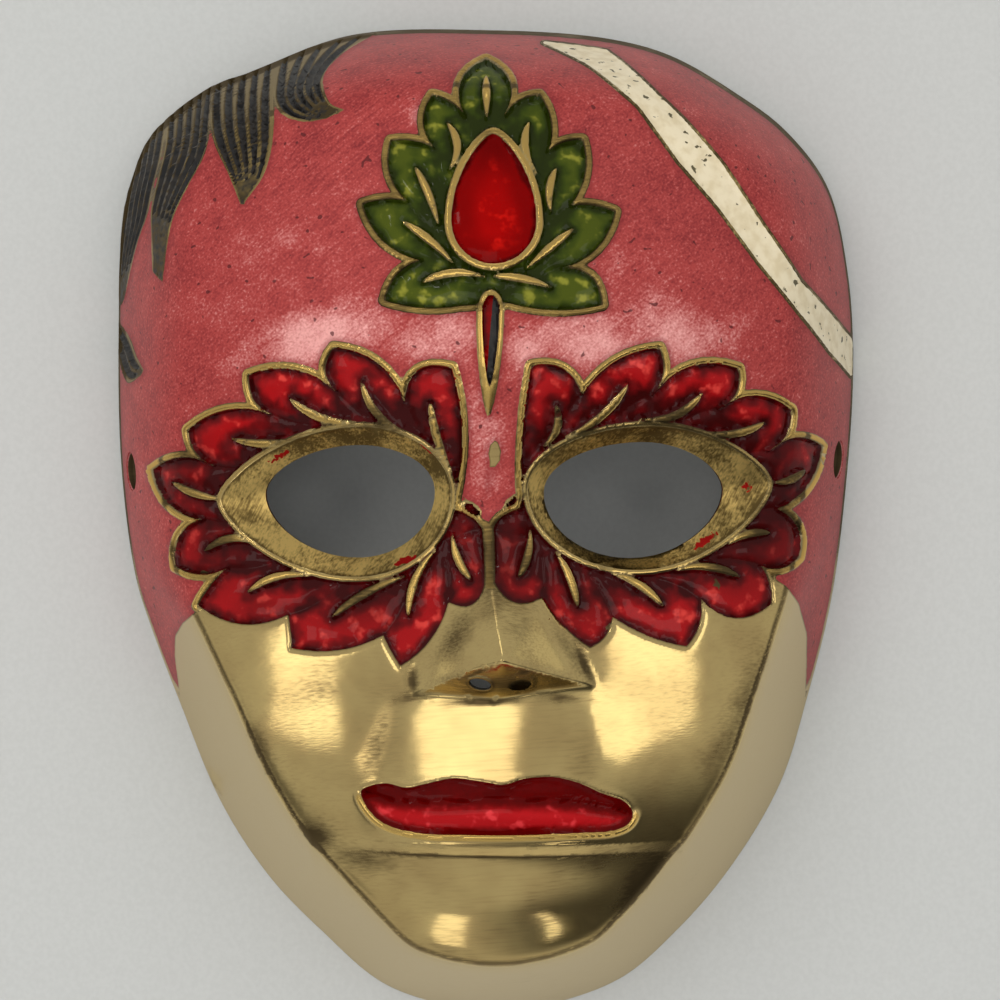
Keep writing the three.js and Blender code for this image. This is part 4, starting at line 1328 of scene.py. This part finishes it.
        bmesh.ops.recalc_face_normals(bm, faces=bm.faces[:])
        mesh = bpy.data.meshes.new(self.name)
        bm.to_mesh(mesh)
        mesh.vertices.foreach_set("co", (points * METRE).ravel())
        values = {}
        for name, at_front in ornament.attributes().items():
            values[name] = np.full(len(plan), LIMIT)
            values[name][front] = at_front
        values[Trace.RELIEF.value] = np.zeros(len(plan))
        values[Trace.RELIEF.value][front] = np.where(nose_relief < 0, nose_relief, relief)
        values[Trace.INSIDE.value] = (~front).astype(float)
        for name, value in values.items():
            mesh.attributes.new(name, "FLOAT", "POINT").data.foreach_set("value", value.astype(np.float32))
        mesh.update()
        mesh.polygons.foreach_set("use_smooth", np.ones(len(mesh.polygons), bool))
        mesh.set_sharp_from_angle(angle=math.radians(self.sharp_angle))
        obj = bpy.data.objects.new(self.name, mesh)
        bpy.context.scene.collection.objects.link(obj)
        return obj


# Shader graph


class Channel:
    """Socket of a node tree that takes part in arithmetic."""

    def __init__(self, graph: "Graph", socket: bpy.types.NodeSocket) -> None:
        """Wraps an output socket of a graph."""
        self.graph = graph
        self.socket = socket

    def _math(self, operation: str, *terms: "Channel | float") -> "Channel":
        """Adds one Math node."""
        return self.graph.node("ShaderNodeMath", {"operation": operation}, dict(enumerate(terms)))

    def __add__(self, other: "Channel | float") -> "Channel":
        """Sum."""
        return self._math("ADD", self, other)

    def __radd__(self, other: float) -> "Channel":
        """Reflected sum."""
        return self._math("ADD", other, self)

    def __sub__(self, other: "Channel | float") -> "Channel":
        """Difference."""
        return self._math("SUBTRACT", self, other)

    def __rsub__(self, other: float) -> "Channel":
        """Reflected difference."""
        return self._math("SUBTRACT", other, self)

    def __mul__(self, other: "Channel | float") -> "Channel":
        """Product."""
        return self._math("MULTIPLY", self, other)

    def __rmul__(self, other: float) -> "Channel":
        """Reflected product."""
        return self._math("MULTIPLY", other, self)

    def least(self, other: "Channel | float") -> "Channel":
        """Smaller of two."""
        return self._math("MINIMUM", self, other)

    def size(self) -> "Channel":
        """Absolute value."""
        return self._math("ABSOLUTE", self)

    def step(self, low: float, high: float) -> "Channel":
        """Smooth step from 0 at low to 1 at high, also where low is the greater."""
        settings = {"interpolation_type": "SMOOTHSTEP"}
        return self.graph.node("ShaderNodeMapRange", settings, {0: self, 1: low, 2: high, 3: 0.0, 4: 1.0})


class Graph:
    """Node tree of a material or of the world."""

    def __init__(self, tree: bpy.types.NodeTree) -> None:
        """Empties the tree."""
        self.tree = tree
        self.tree.nodes.clear()

    def node(self, kind: str, settings: dict, inputs: dict, output: str | int = 0) -> Channel:
        """Adds a node.

        Args:
            kind: the node's type.
            settings: its properties, which are set first.
            inputs: values or channels by socket name or number.
            output: the output wanted.

        Returns:
            That output as a channel.
        """
        node = self.tree.nodes.new(kind)
        for key, value in settings.items():
            setattr(node, key, value)
        for key, value in inputs.items():
            if isinstance(value, Channel):
                self.tree.links.new(value.socket, node.inputs[key])
            else:
                node.inputs[key].default_value = value
        return Channel(self, node.outputs[output])

    def vector(self, operation: str, *terms: "Channel | tuple", **named: float) -> Channel:
        """Adds a Vector Math node, whose answer is a number for a dot product."""
        output = "Value" if operation == "DOT_PRODUCT" else "Vector"
        sockets = {**dict(enumerate(terms)), **named}
        return self.node("ShaderNodeVectorMath", {"operation": operation}, sockets, output)

    def mix(self, share: "Channel | float", low: "Channel | tuple", high: "Channel | tuple") -> Channel:
        """Mixes two colours."""
        colors = [c if isinstance(c, Channel) else (*c, 1.0) for c in (low, high)]
        return self.node("ShaderNodeMix", {"data_type": "RGBA"}, {0: share, 6: colors[0], 7: colors[1]}, 2)

    def close(self, shader: Channel, kind: str) -> None:
        """Ends the tree with its output node."""
        output = self.tree.nodes.new(kind)
        self.tree.links.new(shader.socket, output.inputs["Surface"])


class Paint(Graph):
    """Node tree of one material, with the place on the piece in millimetres."""

    def __init__(self, name: str) -> None:
        """Starts an empty material."""
        self.material = bpy.data.materials.new(name)
        self.material.use_nodes = True
        super().__init__(self.material.node_tree)
        self.place = self.vector("SCALE", self.node("ShaderNodeTexCoord", {}, {}, "Object"), Scale=1 / METRE)

    def noise(self, size: float, detail: float = 2.0, at: Channel | None = None, **inputs: float) -> Channel:
        """Adds noise whose lumps are about a size in millimetres."""
        sockets = {"Vector": at or self.place, "Scale": 1 / size, "Detail": detail, **inputs}
        return self.node("ShaderNodeTexNoise", {}, sockets, "Fac")

    def stretched(self, along: float, across: float, turn: float) -> Channel:
        """Place turned about the face's axis and scaled, for streaks.

        Args:
            along: scale along the streaks.
            across: scale across them.
            turn: their direction, in degrees from +X.

        Returns:
            The new place.
        """
        sockets = {"Vector": self.place, "Rotation": (0, 0, math.radians(-turn))}
        turned = self.node("ShaderNodeMapping", {"vector_type": "POINT"}, sockets)
        return self.vector("MULTIPLY", turned, (along, across, across))

    def attribute(self, zone: Enum) -> Channel:
        """Reads a vertex attribute."""
        return self.node("ShaderNodeAttribute", {"attribute_name": zone.value}, {}, "Fac")

    def within(self, zone: Enum, uneven: Channel | float = 0.0, soft: float = 0.05) -> Channel:
        """Mask of a zone.

        Args:
            zone: the attribute with its signed distance.
            uneven: millimetres added to the distance, for a ragged edge.
            soft: half the width of the edge's blur, in millimetres.

        Returns:
            1 inside and 0 outside.
        """
        return (self.attribute(zone) + uneven).step(soft, -soft)

    def surface(self, color: Channel, roughness: Channel, height: Channel, **constants: float) -> Channel:
        """Adds a Principled shader.

        Args:
            color: its colour.
            roughness: its roughness.
            height: fine relief, in millimetres.
            constants: its other sockets, with underscores for spaces.

        Returns:
            The shader.
        """
        bump = self.node("ShaderNodeBump", {}, {"Height": height, "Distance": METRE}, "Normal")
        sockets = {key.replace("_", " "): value for key, value in constants.items()}
        return self.node("ShaderNodeBsdfPrincipled", {}, {
            "Base Color": color, "Roughness": roughness, "Normal": bump, **sockets})


# Finishes


@dataclass(frozen=True)
class BrassFinish:
    """Old brass: polished on the lower face, brushed on the jaw, tarnished in its hollows, with painted shade
    beside the enamels and painted dark reflections and shadow in patches.
    """

    bright: tuple = (0.84, 0.62, 0.25)
    gold: tuple = (0.80, 0.52, 0.15)
    dull: tuple = (0.58, 0.39, 0.155)
    brushed: tuple = (0.68, 0.54, 0.30)
    # dark colour for tarnish and dirt, and for painted shade and painted dark reflections
    tarnish: tuple = (0.12, 0.082, 0.036)
    bare_cast: tuple = (0.10, 0.075, 0.045)

    def shader(self, g: Paint) -> Channel:
        """Makes the finish in a material's graph."""
        fine = g.noise(1.0, 2.0, g.stretched(0.12, 2.6, 3))
        cloud = g.noise(9, 2.0)
        waves = g.noise(11, 0.0)
        jaw = g.within(Trace.JAW, soft=0.35)
        inside = g.attribute(Trace.INSIDE)
        relief = g.attribute(Trace.RELIEF)
        raised = relief.step(0.08, 0.3)
        hollow = relief.step(-0.02, -0.6)
        lock = g.within(Trace.LOCK, soft=0.4)
        edge = g.attribute(Enamel.PINK).size()
        for zone in (Enamel.RED, Enamel.GREEN, Enamel.BLACK, Enamel.CREAM):
            edge = edge.least(g.attribute(zone).size())
        # darker beside the enamels: dirt and painted shade in the crevices
        border_grime_and_shade = edge.step(0.34, 0.02) * cloud.step(0.2, 0.7) * 0.8
        arris = (g.attribute(Trace.JAW) - 0.42 + (cloud - 0.5) * 0.5).size().step(0.6, 0.12)
        arris = arris * fine.step(0.1, 0.5) * 0.85
        # dark patches with ragged edges, which also roughen the brass: tarnish, painted shade and painted
        # dark reflections
        marks_shade_and_reflections = (g.attribute(Trace.TARNISH) + (fine * 0.5 + cloud * 0.7 - 0.6)).step(0.12, 0.95)
        color = g.mix(cloud.step(0.3, 0.7) * 0.5 + fine.step(0.4, 0.8) * 0.25, self.bright, self.dull)
        color = g.mix(jaw, color, self.brushed)
        color = g.mix(raised, color, self.gold)
        # all the darkening: dirt, tarnish in the hollows and on the locks, a darker line along the jaw's
        # edge, painted shade and painted dark reflections
        stain_and_shade = (border_grime_and_shade + hollow * 0.75 + lock * 0.62 + arris + marks_shade_and_reflections).least(0.97)
        color = g.mix(stain_and_shade, color, self.tarnish)
        color = g.mix(inside, color, self.bare_cast)
        rough = 0.06 + 0.1 * fine + jaw * 0.24 + raised * 0.12 + hollow * 0.2 + inside * 0.4 + lock * 0.2
        height = 0.005 * fine + 0.04 * cloud + 0.07 * waves
        return g.surface(color, rough + 0.26 * marks_shade_and_reflections, height, Metallic=1.0)


@dataclass(frozen=True)
class FiledFinish:
    """Satin brass of the filed eye edges, with some enamel spilt over it."""

    light: tuple = (0.82, 0.56, 0.18)
    dark: tuple = (0.17, 0.11, 0.035)
    spill: tuple = (0.50, 0.015, 0.012)

    def shader(self, g: Paint) -> Channel:
        """Makes the finish in a material's graph."""
        grain = g.noise(0.8, 2.0)
        scratches = g.noise(1.0, 1.0, g.stretched(0.4, 3.0, 62))
        patches = g.noise(5.5, 1.0)
        border = g.attribute(Trace.BEVEL).step(-0.7, 0.0)
        tone = grain * 0.3 + scratches * 0.3 + patches * 0.4
        # darker within 0.7 mm of the border and in the dark patches, which on the tops of the edges are
        # tarnish and painted shade
        tone = tone - border * 0.12 - g.attribute(Trace.TARNISH) * 0.14
        color = g.mix(tone.step(0.33, 0.60), self.dark, self.light)
        spilt = (g.attribute(Trace.SPILL) + (grain - 0.5) * 0.9).step(0.5, 0.6)
        return g.surface(g.mix(spilt, color, self.spill), 0.26 + 0.16 * grain,
                         0.02 * grain + 0.03 * scratches + 0.2 * patches, Metallic=1.0)


@dataclass(frozen=True)
class PearlEnamel:
    """Brushed pearly enamel of the forehead and temples, with a painted highlight across the lower forehead,
    and darker along its borders with dirt and painted shade.
    """

    deep: tuple = (0.25, 0.024, 0.027)
    body: tuple = (0.48, 0.062, 0.056)
    # colour of the pearly flecks and of the painted highlight
    pearl: tuple = (0.95, 0.44, 0.41)
    pit: tuple = (0.10, 0.012, 0.014)

    def shader(self, g: Paint) -> Channel:
        """Makes the finish in a material's graph."""
        strokes = g.noise(1.0, 1.0, g.stretched(0.14, 1.5, 38), Distortion=1.3)
        grain = g.noise(0.45, 1.0)
        cloud = g.noise(7, 2.0)
        sheen = g.attribute(Trace.SHEEN)
        # random tone, lifted where light is painted
        tone = strokes * 0.42 + grain * 0.58 + cloud * 0.38 + sheen * 0.3
        color = g.mix(tone.step(0.42, 0.86), self.deep, self.body)
        # painted highlight where light is painted and the noise is high; pearly flecks besides
        painted_highlight = (sheen * 0.6 + cloud * 0.7 + strokes * 0.3 + grain * 0.55).step(0.90, 1.55)
        color = g.mix(painted_highlight + (grain * 0.7 + strokes * 0.35).step(0.58, 0.8) * 0.18, color, self.pearl)
        pits = g.noise(1.4, 0.0).step(0.225, 0.19)
        color = g.mix(pits * 0.8, color, self.pit)
        # darker along the border with the brass: dirt and painted shade
        color = g.mix(g.attribute(Enamel.PINK).step(-1.2, -0.1) * 0.45, color, self.deep)
        height = 0.035 * strokes + 0.02 * grain + 0.12 * cloud - 0.05 * pits
        return g.surface(color, 0.36 + 0.16 * grain, height, Metallic=0.2, Specular_IOR_Level=0.25,
                         Coat_Weight=0.12, Coat_Roughness=0.16)


@dataclass(frozen=True)
class GlassEnamel:
    """Clear glossy enamel over modelled brass, dark beside the brass and in the folds, partly deeper colour
    and partly painted shade, with bright patches of painted light and painted glints.
    """

    # colour beside the brass and in the folds, partly deeper enamel and partly painted shade
    deep: tuple
    body: tuple
    # colour of the bright patches, which are partly painted light
    bright: tuple
    # colour of the painted glints
    spark: tuple
    lump: float  # size of its lumps, in millimetres
    patchy: float
    relief: float
    thin: tuple  # room at which the bright colour starts to show, and shows fully
    gloss: float
    wander: float  # how far the lumps shift the bright patches, in millimetres

    def shader(self, g: Paint) -> Channel:
        """Makes the finish in a material's graph."""
        lumps = g.noise(self.lump, 1.0)
        glints = g.noise(1.2, 1.0)
        depth = g.attribute(Trace.ROOM) + (lumps - 0.5) * self.wander + (glints - 0.5) * 0.5
        # dark where there is little room: partly deeper colour, partly painted shade
        color = g.mix(depth.step(0.0, 0.9), self.deep, self.body)
        # bright patches of painted light, stronger where more light is painted
        bright = depth.step(*self.thin) * (0.75 + g.attribute(Trace.SHEEN) * 0.4).least(1.0)
        color = g.mix(bright * self.patchy, color, self.bright)
        # painted glints in the bright patches
        color = g.mix((glints * 0.3 + lumps * 0.7).step(0.54, 0.68) * bright * 0.7, color, self.spark)
        # darker in the dark patches, mostly painted shade
        color = g.mix(g.attribute(Trace.TARNISH) * 0.85, color, self.deep)
        return g.surface(color, 0.3 + 0.1 * glints, self.relief * lumps + 0.15 * self.relief * glints,
                         Metallic=0.0, Specular_IOR_Level=0.0, Coat_Weight=self.gloss, Coat_Roughness=0.05,
                         Coat_IOR=1.45)


@dataclass(frozen=True)
class OpaqueEnamel:
    """Plain enamel with pits and chips that are dark or bare."""

    body: tuple
    shade: tuple
    chip: tuple
    rough: float
    chipping: float

    def shader(self, g: Paint) -> Channel:
        """Makes the finish in a material's graph."""
        cloud = g.noise(2.2, 2.0)
        grain = g.noise(0.5, 2.0)
        chips = g.noise(1.9, 3.0).step(self.chipping, self.chipping - 0.03)
        color = g.mix(cloud.step(0.35, 0.7), self.body, self.shade)
        color = g.mix(chips, color, self.chip)
        return g.surface(color, self.rough + 0.25 * grain, 0.05 * cloud + 0.02 * grain - 0.12 * chips,
                         Specular_IOR_Level=0.3, Coat_Weight=0.15, Coat_Roughness=0.1)


FINISHES = {
    Trace.BEVEL: FiledFinish(),
    Enamel.PINK: PearlEnamel(),
    Enamel.RED: GlassEnamel(
        deep=(0.040, 0.002, 0.002), body=(0.13, 0.003, 0.004), bright=(0.44, 0.007, 0.009),
        spark=(1.0, 0.09, 0.07), lump=3.2, patchy=1.0, relief=0.2, thin=(0.7, 2.3), gloss=0.42, wander=3.4),
    Enamel.GREEN: GlassEnamel(
        deep=(0.018, 0.026, 0.002), body=(0.032, 0.050, 0.003), bright=(0.09, 0.11, 0.008),
        spark=(0.42, 0.40, 0.05), lump=3.2, patchy=0.8, relief=0.16, thin=(0.4, 1.9), gloss=0.42, wander=3.0),
    Enamel.DROP: GlassEnamel(
        deep=(0.09, 0.0, 0.0), body=(0.22, 0.0003, 0.0003), bright=(0.40, 0.001, 0.0008),
        spark=(0.85, 0.012, 0.006), lump=5.0, patchy=0.9, relief=0.05, thin=(1.5, 6.0), gloss=0.16,
        wander=3.0),
    Enamel.BLACK: OpaqueEnamel(
        body=(0.012, 0.011, 0.011), shade=(0.026, 0.021, 0.017), chip=(0.22, 0.12, 0.07), rough=0.35,
        chipping=0.28),
    Enamel.CREAM: OpaqueEnamel(
        body=(0.90, 0.78, 0.55), shade=(0.78, 0.65, 0.42), chip=(0.12, 0.10, 0.05), rough=0.3,
        chipping=0.35),
    Enamel.LIPS: GlassEnamel(
        deep=(0.09, 0.001, 0.0008), body=(0.15, 0.001, 0.001), bright=(0.55, 0.010, 0.014),
        spark=(1.0, 0.07, 0.08), lump=3.2, patchy=0.9, relief=0.08, thin=(0.5, 1.8), gloss=0.26, wander=0.8),
}


def mask_finish() -> bpy.types.Material:
    """Lays every finish over the brass, in the one material of the mask.

    Returns:
        The material.
    """
    g = Paint("cast_brass_and_enamel")
    uneven = (g.noise(1.3, 1.0) - 0.5) * 0.18
    shader = BrassFinish().shader(g)
    for zone, finish in FINISHES.items():
        layers = {0: g.within(zone, uneven), 1: shader, 2: finish.shader(g)}
        shader = g.node("ShaderNodeMixShader", {}, layers)
    g.close(shader, "ShaderNodeOutputMaterial")
    return g.material


# Stage


@dataclass(frozen=True)
class SoftLight:
    """Rectangular softbox that faces the mask."""

    name: str
    azimuth: float
    elevation: float
    size: tuple
    radiance: float
    mirrored: bool = True  # whether polished brass shows it
    distance: float = 1.3
    color: tuple = (1.0, 0.985, 0.95)

    def build(self) -> bpy.types.Object:
        """Makes the light.

        Returns:
            Its object.
        """
        data = bpy.data.lights.new(self.name, "AREA")
        data.shape = "RECTANGLE"
        data.size, data.size_y = self.size
        data.energy = self.radiance * math.pi * self.size[0] * self.size[1]
        data.color = self.color
        turn, rise = math.radians(self.azimuth), math.radians(self.elevation)
        away = Vector((math.cos(turn) * math.cos(rise), math.sin(turn) * math.cos(rise), math.sin(rise)))
        obj = bpy.data.objects.new(self.name, data)
        obj.location = away * self.distance
        obj.rotation_euler = away.to_track_quat("Z", "Y").to_euler()
        obj.visible_glossy = self.mirrored
        bpy.context.scene.collection.objects.link(obj)
        return obj


@dataclass
class Studio:
    """Pale floor, soft light, and the camera of the photograph."""

    lights: tuple = (
        SoftLight("overhead_box", 180, 85, (0.52, 0.42), 1.15),
        SoftLight("left_box", 176, 56, (0.34, 0.26), 1.2),
        SoftLight("right_box", 6, 61, (0.40, 0.34), 1.1),
        SoftLight("chin_strip", -74, 38, (0.07, 0.36), 1.1),
        SoftLight("chin_box", -103, 36, (0.17, 0.36), 0.9),
        SoftLight("top_strip", 91, 20, (0.5, 0.16), 1.0),
        SoftLight("window", 127, 57, (0.07, 0.10), 8.0),
        SoftLight("left_top_fill", 135, 50, (1.1, 1.1), 1.9, False, 1.6),
        SoftLight("left_low_fill", -135, 50, (1.1, 1.1), 1.2, False, 1.6),
        SoftLight("right_top_fill", 45, 50, (1.1, 1.1), 1.0, False, 1.6),
        SoftLight("right_low_fill", -45, 50, (1.1, 1.1), 0.8, False, 1.6))
    dark_corners: tuple = (((0.5, -0.66, 0.56), 12, 38, 0.85), ((-0.74, -0.4, 0.55), 5, 18, 0.6))
    room: float = 0.42
    floor_size: float = 2.5
    floor_gap: float = 0.0003  # by which the floor lies under the rim
    camera_place: tuple = (0.0023, 0.0036, 0.600)
    camera_roll: float = -0.0171
    lens: float = 112.5

    def build(self) -> None:
        """Makes floor, world, lights and camera."""
        self._floor()
        self._room()
        for light in self.lights:
            light.build()
        data = bpy.data.cameras.new("photo_camera")
        data.sensor_width = 36
        data.lens = self.lens
        data.clip_start = 0.01
        camera = bpy.data.objects.new("photo_camera", data)
        camera.location = self.camera_place
        camera.rotation_euler = (0, 0, self.camera_roll)
        bpy.context.scene.collection.objects.link(camera)
        bpy.context.scene.camera = camera
        bpy.context.scene.view_settings.view_transform = "Standard"

    def _room(self) -> None:
        """Makes a pale room with two darker corners."""
        world = bpy.data.worlds.new("soft_room")
        world.use_nodes = True
        g = Graph(world.node_tree)
        way = g.node("ShaderNodeTexCoord", {}, {}, "Generated")
        strength = self.room
        for aim, inner, outer, depth in self.dark_corners:
            facing = g.vector("DOT_PRODUCT", way, tuple(Vector(aim).normalized()))
            dark = facing.step(math.cos(math.radians(outer)), math.cos(math.radians(inner)))
            strength = (1 - dark * depth) * strength
        sockets = {"Color": (0.97, 0.99, 1.0, 1.0), "Strength": strength}
        g.close(g.node("ShaderNodeBackground", {}, sockets), "ShaderNodeOutputWorld")
        bpy.context.scene.world = world

    def _floor(self) -> None:
        """Makes the plain pale floor."""
        bm = bmesh.new()
        bmesh.ops.create_grid(bm, x_segments=4, y_segments=4, size=self.floor_size)
        bmesh.ops.translate(bm, verts=bm.verts[:], vec=(0, 0, -self.floor_gap))
        mesh = bpy.data.meshes.new("floor")
        bm.to_mesh(mesh)
        bm.free()
        floor = bpy.data.objects.new("floor", mesh)
        bpy.context.scene.collection.objects.link(floor)
        g = Paint("pale_paper")
        color = g.mix(g.noise(0.9, 1.0).step(0.2, 0.8), (0.60, 0.605, 0.59), (0.63, 0.635, 0.62))
        g.close(g.node("ShaderNodeBsdfDiffuse", {}, {"Color": color}), "ShaderNodeOutputMaterial")
        mesh.materials.append(g.material)


def main() -> None:
    """Builds the studio and the mask."""
    logging.basicConfig(level=logging.INFO, format="%(name)s: %(message)s")
    Studio().build()
    mask = Casting(FaceForm()).build()
    mask.data.materials.append(mask_finish())
    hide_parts("mask")
    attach(mask, "root")
    log.info("%s: %d faces, %d vertices", mask.name, len(mask.data.polygons), len(mask.data.vertices))


if __name__ == "__main__":
    main()
